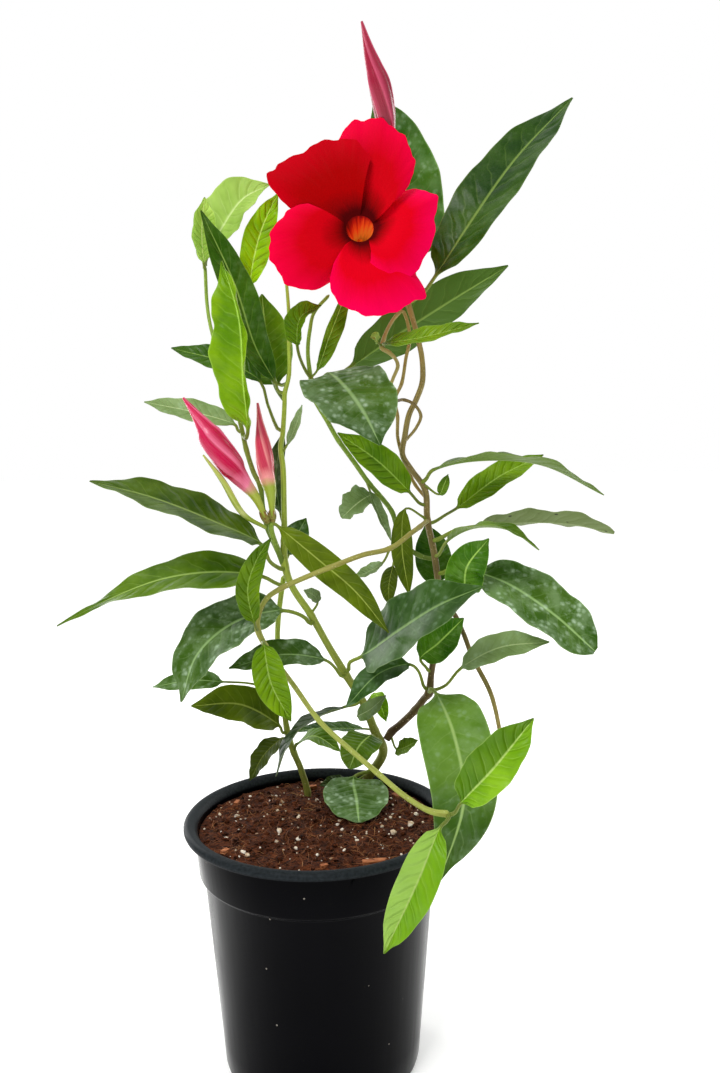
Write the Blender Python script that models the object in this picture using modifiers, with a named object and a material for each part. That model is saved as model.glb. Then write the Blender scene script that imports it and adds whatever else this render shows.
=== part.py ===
"""Mandevilla vine with one open bloom and four buds, growing in a turned nursery pot.

Places and sizes in the lists below are millimetres, +Z up, with the origin on the
underside of the pot at its centre. MM turns them into Blender's metres.
"""
import bpy
import bmesh
import numpy as np
from dataclasses import dataclass
from math import cos, pi, radians, sin
from mathutils import Vector

MM = 0.001
GAP = 0.3                      # clearance left between two pieces that touch

# Pot: a thin moulded cup with a collar under a flared rim
RIM_RADIUS = 60.0
RIM_HEIGHT = 112.0
RIM_DROP = 3.4                 # depth of the rim's outer edge
COLLAR_RADIUS = 55.2
COLLAR_HEIGHT = 90.0           # lower edge of the collar
STEP_RADIUS = 53.7             # collar radius just above the step
BODY_RADIUS = 51.3             # body radius just below the step
FOOT_RADIUS = 44.2
POT_WALL = 1.5
POT_FLOOR = 2.0
POT_STEPS = 32
DRAIN_HOLES = 6
DRAIN_RADIUS = 4.0
DRAIN_CIRCLE = 28.0

# Potting mix
SOIL_HEIGHT = 107.0            # where the mix meets the wall
SOIL_CROWN = 2.0               # how much higher it stands in the middle
SOIL_HOLE_BOTTOM = 94.0        # depth of the holes that the stems stand in
SOIL_HOLE_PLAY = 0.9

# Leaves
BLADE_THICKNESS = 0.7
JOINT_REACH = 0.75             # stalk foot to bark
STALK_RADIUS = 0.95
SLIM_STALK_RADIUS = 0.8
SMALL_STALK_RADIUS = 0.6
SLIM_LEAF = 12.5               # leaves narrower than this need fewer sections
WAVES = 3.1                    # ripples along one edge

# Bloom
BLOOM_CENTRE = (22, -8, 366)
BLOOM_LEAN = radians(9.8)      # how far the bloom looks up
THROAT_RADIUS = 6.2
PETAL_THICKNESS = 0.8
PETAL_PITCH = 3.2              # one edge forward, the other back, like a propeller
PETAL_BOWL = 3.0
TUBE_LENGTH = 44.0
CONE_LENGTH = 9.0

# Half width of a blade along its length: (share of length, share of half width)
OVAL = ((0, .10), (.03, .30), (.09, .58), (.18, .82), (.30, .97), (.42, 1.0),
        (.54, .97), (.66, .86), (.77, .68), (.86, .45), (.93, .22), (1, .03))
BROAD = ((0, .10), (.03, .40), (.09, .72), (.18, .93), (.30, 1.0), (.42, 1.0),
         (.54, .95), (.66, .84), (.77, .65), (.86, .42), (.93, .19), (1, .03))
LONG = ((0, .10), (.03, .26), (.09, .50), (.18, .74), (.30, .93), (.42, 1.0),
        (.54, .98), (.66, .87), (.77, .69), (.86, .46), (.93, .24), (1, .04))
DRIP = ((0, .10), (.03, .40), (.09, .74), (.18, .96), (.30, 1.0), (.42, .88),
        (.54, .70), (.66, .46), (.77, .24), (.86, .12), (.93, .07), (1, .03))
ROUND = ((0, .12), (.03, .42), (.09, .70), (.18, .90), (.30, 1.0), (.46, 1.0),
         (.60, .93), (.74, .78), (.86, .58), (.94, .36), (1, .10))
LARGE_STATIONS = (0, .04, .12, .24, .36, .48, .60, .72, .83, .92, 1)
SMALL_STATIONS = (0, .06, .18, .38, .60, .82, 1)


@dataclass
class Leaf:
    """One leaf: its stalk starts on the nearest stem and its blade ends at its tip."""
    stalk: list                # points along the stalk, the first at the stem
    blade: list                # points along the midrib, from blade base to tip
    width: float
    face: tuple                # the way that the upper side looks at mid blade
    fold: float                # degrees that each half is raised
    wave: float                # height of the edge's ripples
    outline: tuple
    across: int = 3            # points across the blade
    green: str = "leaf_mid"
    phase: float = 0.0


# Stems: points along each one with the stem's radius there (x, y, z, radius)
STEMS = {
    # trunk, left branch and its side shoots
    "trunk": [
        (21, 38, 94.5, 2.3), (21, 38, 110, 2.3), (30, 30, 130, 2.2), (26, 27, 141, 2),
        (21, 20, 156, 1.9), (13, 12, 172, 1.8), (6, 8, 185, 1.6), (-2, 5, 201, 1.6),
        (-10, 3, 214, 1.5), (-13, 2, 224, 1.7), (-13, 2, 243, 1.3), (-13, 3, 266, 1.2),
        (-14, 4, 276, 1.2), (-13, 5, 282, 1.1), (-12, 6, 296, 1), (-12, 6, 299, 1.1),
        (-10, 9, 308, 0.9), (-10, 12, 323, 0.9), (-10, 14, 336, 0.8), (-11, 16, 352, 0.7),
    ],
    "twisting_shoot": [
        (-14, 2, 226, 1.3), (-20, 1, 240, 1.1), (-22, 0, 250, 1.1), (-23, 1, 259, 1.1),
        (-26, 3, 265, 1.1), (-29, 4, 275, 1.1), (-31, 4, 285, 1), (-35, 6, 299, 0.8),
        (-39, 8, 312, 0.8), (-44, 14, 326, 0.8), (-47, 20, 340, 0.8), (-48, 23, 358, 0.8),
    ],
    "bud_stalk": [
        (-14, 2, 225, 1.3), (-16, -2, 232, 1.2), (-18, -5, 240, 1.2), (-18, -6, 244, 1.3),
    ],
    "thin_shoot": [
        (-12, 6, 296, 0.8), (-16, 12, 302, 0.8), (-23, 20, 322, 0.8), (-28, 20, 336, 0.8),
        (-29, 20, 343, 0.8),
    ],
    # right branch, its side vine and the stalks of bloom and top bud
    "right_branch": [
        (31.7, 28.5, 136.3, 1.8), (34, 28, 140, 1.9), (38, 26, 144, 1.8), (45, 22, 152, 1.8),
        (49, 17, 159, 1.7), (51, 13, 163, 1.9), (52, 14, 171, 1.5), (54, 15, 182, 1.5),
        (56, 16, 196, 1.5), (56, 15, 210, 1.5), (54, 14, 226, 1.5), (51, 15, 242, 1.5),
        (50, 15, 256, 1.4), (44, 15, 265, 1.3), (40, 15, 272, 1.3), (41, 14, 280, 1.3),
        (43, 13, 290, 1.3), (46, 13, 296, 1.3), (49, 13, 304, 1.3), (49, 13, 314, 1.2),
        (47, 13, 324, 1.2), (45, 14, 332, 1.2), (43, 15, 339, 1.4), (40, 24, 351, 1.2),
        (36, 36, 352, 1.2), (28, 42, 355, 1.2), (22, 36.9, 358.2, 1.2),
    ],
    "side_vine": [
        (56, 16, 201, 1.2), (62, 12, 200, 1.1), (66, 8, 192, 1.1), (70, 6, 181, 1.1),
        (77, 2, 167, 1.1), (79, -1, 160, 1), (81, -8, 147, 0.9),
    ],
    "top_bud_stalk": [
        (38, 28, 351, 1.1), (39, 31, 370, 1), (37, 30, 388, 1),
    ],
    # thin vines that twine round the right branch
    "twining_tan": [
        (46, 20, 258, 0.8), (43, 20, 264, 0.8), (40, 20, 272, 0.8), (38, 19, 280, 0.8),
        (38, 17, 289, 0.8), (37, 16, 297, 0.8), (40, 17, 304, 0.8), (42, 18, 315, 0.8),
        (44, 19, 325, 0.8), (41, 19, 336, 0.8), (38, 16, 334, 0.8), (34, 13, 328, 0.8),
        (32, 11, 323, 0.9), (31, 10, 319, 1), (34, 9, 317, 0.9), (37, 9, 314, 0.8),
        (38, 9, 311, 0.8), (36, 9, 306, 0.8), (34, 9, 301, 0.8),
    ],
    "twining_loop": [
        (37, 16, 296, 0.7), (41, 9, 296, 0.7), (45, 8, 294, 0.7), (48, 9, 289, 0.7),
        (46, 10, 284, 0.7), (42, 18, 279, 0.7), (39, 20, 276, 0.7),
    ],
    # centre stem
    "centre_stem": [
        (54, 17, 224, 1.1), (47, 17, 226, 1.1), (39, 17, 233, 1.1), (35, 16, 246, 1.1),
        (30, 16, 253, 1.2), (25, 16, 259, 1.1), (18, 16, 269, 1.1), (11, 17, 279, 1.1),
        (6, 18, 288, 1.1), (0, 18, 299, 1.1), (-1, 18, 307, 1.1), (-2, 18, 319, 0.9),
        (-1, 18, 328, 0.9), (1, 19, 336, 0.8), (8, 20, 344, 0.8),
    ],
    # runner that crosses the front
    "runner": [
        (50.7, 12.5, 242, 1.1), (47, 6, 240, 1.1), (43, 0, 238, 1.1), (33, -9, 232, 1.1),
        (21, -15, 230, 1.1), (7, -17, 225, 1.1), (-6, -18, 220, 1.1), (-13, -19, 217, 1.1),
        (-19, -20, 213, 1.1), (-23, -20, 205, 1.1), (-23, -20, 199, 1.4), (-18, -19, 189, 1.1),
        (-9, -22, 177, 1.1), (2, -28, 163, 1.1), (13, -34, 154, 1.1), (26, -42, 145, 1.1),
        (37, -50, 138, 1.1), (46, -57, 135, 1.1), (53, -60, 135, 1.5),
    ],
    # thin stem up from the soil
    "basal_stem": [
        (-7, 31, 94.5, 1.6), (-7, 31, 110, 1.6), (-10, 30, 122, 1.5), (-13, 29, 130, 1.5),
        (-15, 28, 137, 1.6), (-16, 27, 143, 1.4), (-17, 22, 158, 1.3), (-18, 16, 176, 1.3),
        (-18, 12, 191, 1.2), (-16, 7, 207, 1.2), (-14, 6, 219, 1.2),
    ],
}
ROOTED = ("trunk", "basal_stem")

# Leaves, from the top of the plant down
LEAVES = {
    "leaf_top_right": Leaf(
        stalk=[(44, 13, 340), (49, 12, 342)],
        blade=[(55, 13, 350), (71, 17, 374), (92, 24, 403), (120, 34, 433)],
        width=29, face=(-0.35, -0.75, 0.5), fold=12, wave=0.8,
        outline=OVAL, across=5, green="leaf_dark"),
    "leaf_behind_bloom": Leaf(
        stalk=[(41, 25, 349), (47, 33, 352)],
        blade=[(47, 40, 362), (45, 48, 388), (40, 50, 416), (30, 46, 441)],
        width=36, face=(0.1, -1, 0.15), fold=8, wave=1.2,
        outline=OVAL, across=5, green="leaf_mid"),
    "leaf_under_bloom": Leaf(
        stalk=[(4, 22, 303), (10, 28, 308)],
        blade=[(17, 30, 313), (38, 32, 327), (64, 33, 343), (91, 36, 359)],
        width=25, face=(-0.3, 0.8, 0.5), fold=10, wave=0.8,
        outline=OVAL, across=5, green="leaf_dark"),
    "leaf_arching_pale": Leaf(
        stalk=[(-48, 25, 358)],
        blade=[(-47, 25, 363), (-40, 24, 375), (-30, 22, 387), (-18, 22, 393)],
        width=25, face=(-0.35, -0.85, 0.4), fold=20, wave=0.8,
        outline=OVAL, green="leaf_lime"),
    "leaf_long_left": Leaf(
        stalk=[(-13, 6, 300)],
        blade=[(-16, 8, 304), (-25, 11, 321), (-33, 11, 347), (-47, 10, 379)],
        width=16, face=(0.25, -0.95, 0.2), fold=14, wave=0.8,
        outline=LONG, green="leaf_dark"),
    "leaf_rippled_left": Leaf(
        stalk=[(-30, 0, 281), (-28, -4, 280)],
        blade=[(-27, -6, 283), (-28, -9, 302), (-29, -10, 329), (-36, -6, 354)],
        width=26, face=(-0.62, -0.78, 0.05), fold=38, wave=1.3,
        outline=LONG, across=5, green="leaf_fresh"),
    "leaf_dusky_left": Leaf(
        stalk=[(-10, 12, 307), (-12, 20, 305)],
        blade=[(-16, 25, 305), (-21, 28, 321), (-23, 27, 346)],
        width=24, face=(-0.15, -1, 0.1), fold=8, wave=0.8,
        outline=OVAL, green="leaf_dusky"),
    "leaf_rippled_pale": Leaf(
        stalk=[(-29, 19, 343)],
        blade=[(-28, 20, 348), (-25, 19, 362), (-21, 18, 374), (-14, 18, 388)],
        width=14, face=(0.1, -1, 0.05), fold=15, wave=1.2,
        outline=LONG, green="leaf_lime"),
    "leaf_far_left": Leaf(
        stalk=[(-15, 9, 283), (-20, 12, 295)],
        blade=[(-23, 13, 305), (-35, 16, 313), (-63, 16, 321)],
        width=14, face=(-0.1, -0.75, 0.65), fold=10, wave=0.5,
        outline=LONG, green="leaf_dark"),
    "leaf_grey_left": Leaf(
        stalk=[(-30, 4, 283)],
        blade=[(-34, 7, 286), (-52, 10, 292), (-75, 12, 297)],
        width=13, face=(-0.1, -0.7, 0.7), fold=10, wave=0.4,
        outline=LONG, green="leaf_dusky"),
    "leaf_left_upper": Leaf(
        stalk=[(-15, 0, 223), (-19, -6, 227)],
        blade=[(-22, -7, 234), (-41, -14, 245), (-66, -20, 256), (-90, -24, 263)],
        width=27, face=(-0.1, -0.42, 0.9), fold=10, wave=0.8,
        outline=OVAL, across=5, green="leaf_olive"),
    "leaf_left_drip": Leaf(
        stalk=[(-10, 1, 216), (-17, -3, 217)],
        blade=[(-22, -5, 220), (-40, -9, 223), (-63, -12, 221), (-86, -13, 213), (-110, -12, 201)],
        width=32, face=(-0.15, -0.6, 0.8), fold=8, wave=0.8,
        outline=DRIP, across=5, green="leaf_mid"),
    "leaf_left_drooping": Leaf(
        stalk=[(0, 4, 198), (-5, 1, 201)],
        blade=[(-14, 1, 204), (-35, -3, 200), (-51, -9, 187), (-58, -12, 167)],
        width=33, face=(-0.45, -0.6, 0.65), fold=8, wave=1,
        outline=OVAL, green="leaf_dusky"),
    "leaf_left_olive": Leaf(
        stalk=[(-15, 26, 141)],
        blade=[(-19, 23, 145), (-36, 15, 158), (-58, 10, 159)],
        width=19, face=(-0.1, -0.75, 0.65), fold=10, wave=0.8,
        outline=OVAL, green="leaf_olive"),
    "leaf_centre_left": Leaf(
        stalk=[(11, 10, 172), (8, 6, 177)],
        blade=[(4, 3, 181), (-14, -2, 185), (-38, -6, 180)],
        width=16, face=(0, -0.6, 0.8), fold=14, wave=0.6,
        outline=OVAL, green="leaf_dusky"),
    "leaf_diagonal_olive": Leaf(
        stalk=[(-18, -2, 244)],
        blade=[(-15, -6, 242), (2, -10, 228), (18, -12, 214), (32, -12, 196)],
        width=17, face=(-0.35, -0.85, 0.35), fold=8, wave=0.8,
        outline=OVAL, green="leaf_olive"),
    "leaf_lime_up": Leaf(
        stalk=[(-24, -21, 200)],
        blade=[(-24, -24, 203), (-26, -28, 218), (-22, -29, 230), (-16, -27, 239)],
        width=13, face=(0.15, -1, 0.1), fold=20, wave=0.8,
        outline=OVAL, green="leaf_fresh"),
    "leaf_lime_down": Leaf(
        stalk=[(-21, -21, 195)],
        blade=[(-20, -27, 195), (-17, -32, 180), (-9, -33, 164)],
        width=14, face=(0.1, -0.95, 0.3), fold=18, wave=0.8,
        outline=OVAL, green="leaf_lime"),
    "leaf_runner_down": Leaf(
        stalk=[(52, -62, 134)],
        blade=[(49, -65, 132), (40, -71, 114), (27, -71, 86)],
        width=16, face=(-0.1, -1, 0.2), fold=16, wave=0.9,
        outline=OVAL, green="leaf_lime"),
    "leaf_runner_up": Leaf(
        stalk=[(55, -61, 137)],
        blade=[(57, -62, 140), (69, -64, 154), (85, -60, 172)],
        width=20, face=(-0.35, -0.85, 0.4), fold=28, wave=1.2,
        outline=OVAL, green="leaf_lime"),
    "leaf_blotched_centre": Leaf(
        stalk=[(2, 17, 301), (4, 13, 305)],
        blade=[(7, 10, 308), (15, -4, 301), (23, -15, 289), (29, -23, 276)],
        width=38, face=(-0.05, -0.5, 0.85), fold=6, wave=1.2,
        outline=BROAD, across=5, green="leaf_dusky"),
    "leaf_mid_olive": Leaf(
        stalk=[(49, 15, 249)],
        blade=[(43, 13, 255), (29, 9, 269), (11, 6, 282)],
        width=15, face=(-0.2, -0.8, 0.5), fold=14, wave=0.6,
        outline=OVAL, green="leaf_olive"),
    "leaf_front_large": Leaf(
        stalk=[(13, 8, 174), (15, 3, 180)],
        blade=[(20, 0, 183), (37, -14, 198), (53, -24, 210), (70, -30, 218)],
        width=33, face=(-0.25, -0.62, 0.75), fold=8, wave=1,
        outline=BROAD, across=5, green="leaf_dusky"),
    "leaf_front_shaded": Leaf(
        stalk=[(53, 14, 173), (50, 12, 177)],
        blade=[(47, 11, 179), (55, 8, 187), (66, 4, 199)],
        width=17, face=(0.2, -0.7, 0.7), fold=10, wave=0.5,
        outline=OVAL, green="leaf_dark"),
    "leaf_centre_low": Leaf(
        stalk=[(50, 12, 165), (46, 8, 174)],
        blade=[(42, 5, 178), (28, -2, 176), (13, -6, 162)],
        width=13, face=(-0.25, -0.7, 0.6), fold=12, wave=0.6,
        outline=OVAL, green="leaf_mid"),
    "leaf_hidden_olive": Leaf(
        stalk=[(51, 13, 244)],
        blade=[(41, 9, 248), (39, 9, 232), (42, 8, 209)],
        width=10, face=(-0.1, -1, 0.1), fold=12, wave=0.6,
        outline=LONG, green="leaf_olive"),
    "leaf_hidden_dark": Leaf(
        stalk=[(55, 17, 210)],
        blade=[(55, 20, 212), (54, 24, 225), (51, 24, 240)],
        width=17, face=(0, -1, 0.2), fold=8, wave=0.6,
        outline=OVAL, green="leaf_dark"),
    "leaf_right_arch": Leaf(
        stalk=[(49, 10, 260)],
        blade=[(53, 8, 265), (69, 6, 269), (100, 4, 267), (128, 4, 253)],
        width=24, face=(0.05, 0, 1), fold=12, wave=0.8,
        outline=LONG, green="leaf_mid"),
    "leaf_right_bright": Leaf(
        stalk=[(52, 15, 241), (59, 18, 244)],
        blade=[(65, 22, 247), (85, 27, 261), (107, 32, 271)],
        width=14, face=(-0.3, -0.8, 0.45), fold=14, wave=0.6,
        outline=OVAL, green="leaf_fresh"),
    "leaf_right_pale": Leaf(
        stalk=[(53, 12, 233), (63, 8, 238)],
        blade=[(72, 4, 240), (93, 0, 242), (113, -5, 241), (129, -9, 237)],
        width=25, face=(0, 0.32, 0.95), fold=10, wave=0.7,
        outline=OVAL, green="leaf_dusky"),
    "leaf_right_slim": Leaf(
        stalk=[(53, 9, 226)],
        blade=[(59, 3, 234), (70, -12, 241), (83, -20, 240), (94, -24, 232)],
        width=13, face=(0.05, -0.1, 1), fold=12, wave=0.5,
        outline=LONG, green="leaf_mid"),
    "leaf_right_glossy": Leaf(
        stalk=[(55, 8, 207), (62, 2, 208)],
        blade=[(65, -3, 212), (66, -10, 224), (75, -12, 236)],
        width=17, face=(-0.1, -1, 0.2), fold=10, wave=1.2,
        outline=BROAD, green="leaf_dark"),
    "leaf_right_large": Leaf(
        stalk=[(55, 10, 218), (63, 8, 222)],
        blade=[(71, 4, 220), (85, -3, 215), (104, -10, 202), (120, -14, 187)],
        width=30, face=(0.3, -0.68, 0.66), fold=8, wave=0.8,
        outline=OVAL, across=5, green="leaf_dusky"),
    "leaf_right_lower": Leaf(
        stalk=[(53, 10, 165), (58, 3, 169)],
        blade=[(64, -3, 178), (80, -8, 188), (101, -12, 191)],
        width=14, face=(-0.05, -0.7, 0.7), fold=12, wave=0.6,
        outline=OVAL, green="leaf_olive"),
    "leaf_hanging_large": Leaf(
        stalk=[(52, 9, 164), (51, 4, 167)],
        blade=[(53, 0, 166), (59, -20, 153), (61, -37, 131), (50, -50, 104)],
        width=30, face=(-0.1, -0.85, 0.5), fold=8, wave=1,
        outline=BROAD, across=5, green="leaf_mid"),
    "leaf_round_low": Leaf(
        stalk=[(24, 34, 118)],
        blade=[(16, 28, 118), (17, 11, 113), (18, -7, 110)],
        width=30, face=(0, -0.25, 1), fold=4, wave=0.6,
        outline=ROUND, green="leaf_dusky"),
    "leaf_round_small": Leaf(
        stalk=[(27, 24, 137)],
        blade=[(24, 16, 142), (18, 5, 140), (14, 0, 132)],
        width=18, face=(-0.2, -0.7, 0.7), fold=6, wave=0.5,
        outline=ROUND, green="leaf_mid"),
    "leaf_grey_long": Leaf(
        stalk=[(20, 17, 157)],
        blade=[(12, 12, 157), (-3, 6, 153), (-13, 3, 144), (-19, 0, 129)],
        width=15, face=(-0.5, -0.05, 0.85), fold=10, wave=0.5,
        outline=LONG, green="leaf_dusky"),
    "leaf_basal_brown": Leaf(
        stalk=[(-15, 26, 138)],
        blade=[(-18, 23, 139), (-26, 19, 133), (-33, 17, 121)],
        width=12, face=(-0.5, -0.6, 0.6), fold=12, wave=0.5,
        outline=OVAL, green="leaf_olive"),
    "leaf_grey_small": Leaf(
        stalk=[(-16, 22, 163), (-32, 22, 166)],
        blade=[(-45, 22, 167), (-60, 22, 168), (-78, 22, 165)],
        width=10, face=(0, -0.8, 0.6), fold=10, wave=0.4,
        outline=OVAL, green="leaf_dusky"),
}

# Small leaves, each one body with the stem that it grows from
SMALL_LEAVES = {
    "young_leaf": Leaf(
        stalk=[(32, 10, 320)],
        blade=[(32, 2, 320), (47, -8, 321), (71, -12, 326)],
        width=9, face=(-0.1, -0.75, 0.6), fold=16, wave=0.5,
        outline=LONG),
    "young_leaf_curl": Leaf(
        stalk=[(31, 10, 320)],
        blade=[(29, 6, 321), (28, 4, 323), (26, 4, 323)],
        width=5, face=(0, -0.75, 0.6), fold=16, wave=0.2,
        outline=OVAL),
    "upright_pale_leaf": Leaf(
        stalk=[(-48, 22, 357)],
        blade=[(-48, 20, 359), (-48, 17, 372), (-46, 15, 386)],
        width=11, face=(0.75, -0.65, 0.1), fold=16, wave=0.5,
        outline=LONG),
    "curled_leaf": Leaf(
        stalk=[(0, 18, 306), (-3, 16, 310)],
        blade=[(-6, 7, 320), (-4, 4, 332), (5, 5, 337)],
        width=12, face=(-0.3, -0.8, 0.5), fold=30, wave=0.5,
        outline=OVAL),
    "folded_leaf": Leaf(
        stalk=[(-1, 18, 307)],
        blade=[(2, 16, 310), (8, 14, 325), (17, 16, 347)],
        width=10, face=(0.5, -0.8, 0.2), fold=40, wave=0.3,
        outline=LONG),
    "narrow_leaf_right": Leaf(
        stalk=[(-13, 4, 274)],
        blade=[(-11, 2, 277), (-7, 0, 285), (-4, 0, 294)],
        width=5, face=(-0.5, -0.8, 0.2), fold=14, wave=0.2,
        outline=LONG),
    "narrow_leaf_grey": Leaf(
        stalk=[(-13, 2, 240)],
        blade=[(-15, 6, 247), (-17, 10, 264), (-13, 12, 284)],
        width=9, face=(-0.4, -0.9, 0.1), fold=10, wave=0.4,
        outline=LONG),
    "blue_green_leaf": Leaf(
        stalk=[(-13, 2, 225)],
        blade=[(-12, 8, 228), (-9, 12, 235), (-4, 14, 244)],
        width=12, face=(0, -0.9, 0.3), fold=10, wave=0.4,
        outline=OVAL),
    "branch_leaflet": Leaf(
        stalk=[(-2, 5, 202)],
        blade=[(1, 3, 207), (0, 2, 210), (-5, 2, 213)],
        width=6, face=(0, -0.7, 0.7), fold=10, wave=0.3,
        outline=OVAL),
    "wilted_leaf": Leaf(
        stalk=[(30, 16, 253)],
        blade=[(26, 15, 254), (20, 12, 251), (12, 12, 244)],
        width=14, face=(-0.1, -0.8, 0.6), fold=24, wave=1.2,
        outline=ROUND),
    "folded_slip": Leaf(
        stalk=[(24, 16, 259)],
        blade=[(25, 12, 256), (28, 8, 248), (34, 6, 234)],
        width=6, face=(0.5, -0.8, 0.2), fold=34, wave=0.3,
        outline=LONG),
    "runner_leaflet": Leaf(
        stalk=[(33, -9, 232)],
        blade=[(30, -8, 226), (24, -6, 222), (17, -4, 219)],
        width=6, face=(0, -0.7, 0.7), fold=20, wave=0.3,
        outline=OVAL),
    "olive_leaflet": Leaf(
        stalk=[(39, 17, 233), (36, 14, 226)],
        blade=[(35, 12, 222), (33, 12, 213), (33, 12, 204)],
        width=8, face=(-0.2, -0.9, 0.3), fold=14, wave=0.3,
        outline=OVAL),
    "yellow_leaflet": Leaf(
        stalk=[(22, 20, 156)],
        blade=[(26, 16, 162), (28, 10, 160), (31, 8, 151)],
        width=7, face=(0.1, -0.9, 0.3), fold=14, wave=0.3,
        outline=OVAL),
    "bud_leaflet": Leaf(
        stalk=[(50, 14, 258)],
        blade=[(56, 12, 254), (58, 10, 258), (60, 10, 263)],
        width=5, face=(0, -0.9, 0.3), fold=14, wave=0.2,
        outline=OVAL),
    "blue_leaflet": Leaf(
        stalk=[(23, 21, 152)],
        blade=[(18, 14, 152), (24, 8, 157), (31, 5, 164)],
        width=8, face=(-0.2, -0.8, 0.5), fold=10, wave=0.3,
        outline=OVAL),
    "fork_leaflet": Leaf(
        stalk=[(34, 28, 137)],
        blade=[(36, 24, 133), (40, 20, 135), (46, 18, 139)],
        width=9, face=(0, -0.6, 0.8), fold=14, wave=0.3,
        outline=OVAL),
    "flat_leaf_low": Leaf(
        stalk=[(27, 27, 141)],
        blade=[(21, 30, 141), (2, 32, 141), (-15, 32, 140)],
        width=11, face=(0, -0.15, 1), fold=10, wave=0.4,
        outline=LONG),
    "glossy_leaf_low": Leaf(
        stalk=[(-13, 29, 131)],
        blade=[(-11, 24, 136), (-2, 17, 142), (10, 12, 136)],
        width=12, face=(0.1, -0.35, 0.95), fold=10, wave=0.4,
        outline=OVAL),
    "soil_leaflet": Leaf(
        stalk=[(26, 38, 118)],
        blade=[(14, 34, 113), (6, 32, 114), (-1, 31, 113)],
        width=8, face=(0, -0.5, 0.9), fold=10, wave=0.3,
        outline=OVAL),
}

# Each stem node: its routes, its small leaves and how finely its routes are drawn
STEM_NODES = {
    "left_stem": (
        ["trunk", "twisting_shoot", "bud_stalk", "thin_shoot"],
        ["upright_pale_leaf", "narrow_leaf_right", "narrow_leaf_grey", "blue_green_leaf",
         "branch_leaflet", "yellow_leaflet", "blue_leaflet", "flat_leaf_low", "soil_leaflet"],
        2,
    ),
    "right_stem": (
        ["right_branch", "side_vine", "top_bud_stalk"],
        ["bud_leaflet", "fork_leaflet"],
        2,
    ),
    "twining_vines": (
        ["twining_tan", "twining_loop"],
        ["young_leaf", "young_leaf_curl"],
        2,
    ),
    "centre_stem": (
        ["centre_stem"],
        ["curled_leaf", "folded_leaf", "wilted_leaf", "folded_slip", "olive_leaflet"],
        2,
    ),
    "runner": (
        ["runner"],
        ["runner_leaflet"],
        2,
    ),
    "basal_stem": (
        ["basal_stem"],
        ["glossy_leaf_low"],
        2,
    ),
}

BUDS = {
    "bud_top": dict(
        axis=[(36.9, 30, 389), (36, 18, 402), (34, 8, 414), (31, 3, 428), (27, 1, 441), (24, 0, 452)],
        radii=(1.1, 2.3, 2.9, 3.4, 4.6, 4.9, 3.6, 2.0, 0.5), ridge=0.08, twist=2.6,
        colour="bud_pink"),
    "bud_left": dict(
        axis=[(-19.9, -7, 245), (-24, -10, 255), (-29, -12, 262), (-39, -12, 276), (-45, -12, 286),
              (-53, -12, 297)],
        radii=(0.9, 1.6, 2.6, 4.3, 5.7, 5.6, 3.9, 2.0, 0.5), ridge=0.08, twist=2.6,
        colour="bud_pink"),
    "bud_right": dict(
        axis=[(-17.4, -5.2, 245), (-18, -4, 256), (-20, -3, 266), (-21, -3, 277), (-23, -2, 295)],
        radii=(0.9, 1.5, 2.6, 3.5, 3.9, 3.5, 2.4, 1.3, 0.5), ridge=0.08, twist=2.6,
        colour="bud_salmon"),
    "bud_green": dict(
        axis=[(-20.4, -6.4, 241.5), (-29, -13, 248), (-37, -14, 262), (-45, -14, 273)],
        radii=(0.8, 0.9, 1.2, 1.4, 1.4, 1.2, 0.8, 0.4), ridge=0.05, twist=1.5,
        colour="bud_green"),
}

# Petals: where each one is rooted (degrees) and its outer edge as (degrees, reach);
# the first point lies behind the next petal and the last one in front of it
PETALS = {
    "petal_upper_left": dict(root=126, edge=(
        (163, 28), (157, 37), (148, 46), (138, 44), (122, 41), (107, 40), (92, 36), (80, 29)),
        cup=1.5),
    "petal_top": dict(root=60, edge=(
        (104, 41), (93, 49), (83, 50), (73, 48), (62, 43), (52, 38), (44, 31), (38, 23))),
    "petal_right": dict(root=-14, edge=(
        (49, 25), (36, 32), (25, 36), (8, 32), (-18, 30), (-44, 29), (-62, 26), (-76, 17))),
    "petal_bottom": dict(root=-84, edge=(
        (-35, 27), (-45, 39), (-58, 37), (-74, 38), (-90, 36), (-104, 33), (-116, 29), (-126, 19))),
    "petal_left": dict(root=-158, edge=(
        (-118, 21), (-130, 33), (-144, 38), (-158, 39), (-170, 39), (-182, 36), (-194, 31),
        (-205, 24))),
}

# Finish of each piece: base colour (linear) and roughness
LOOKS = {
    "pot": ((0.004, 0.004, 0.005), 0.22),
    "soil": ((0.060, 0.022, 0.012), 0.95),
    "stem": ((0.120, 0.110, 0.035), 0.55),
    "leaf_dark": ((0.022, 0.075, 0.022), 0.35),
    "leaf_mid": ((0.050, 0.120, 0.022), 0.38),
    "leaf_dusky": ((0.060, 0.120, 0.060), 0.45),
    "leaf_olive": ((0.080, 0.110, 0.012), 0.40),
    "leaf_fresh": ((0.110, 0.240, 0.020), 0.40),
    "leaf_lime": ((0.180, 0.370, 0.030), 0.42),
    "petal": ((0.700, 0.002, 0.010), 0.45),
    "anther": ((0.650, 0.250, 0.020), 0.60),
    "bud_pink": ((0.500, 0.030, 0.090), 0.40),
    "bud_salmon": ((0.560, 0.110, 0.110), 0.40),
    "bud_green": ((0.150, 0.220, 0.030), 0.45),
}

for order, some_leaf in enumerate([*LEAVES.values(), *SMALL_LEAVES.values()]):
    some_leaf.phase = order * 0.37 % 1

# Scene and materials

def clear_scene():
    for item in list(bpy.data.objects):
        bpy.data.objects.remove(item, do_unlink=True)


def make_collection(name):
    group = bpy.data.collections.new(name)
    bpy.context.scene.collection.children.link(group)
    return group


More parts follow.
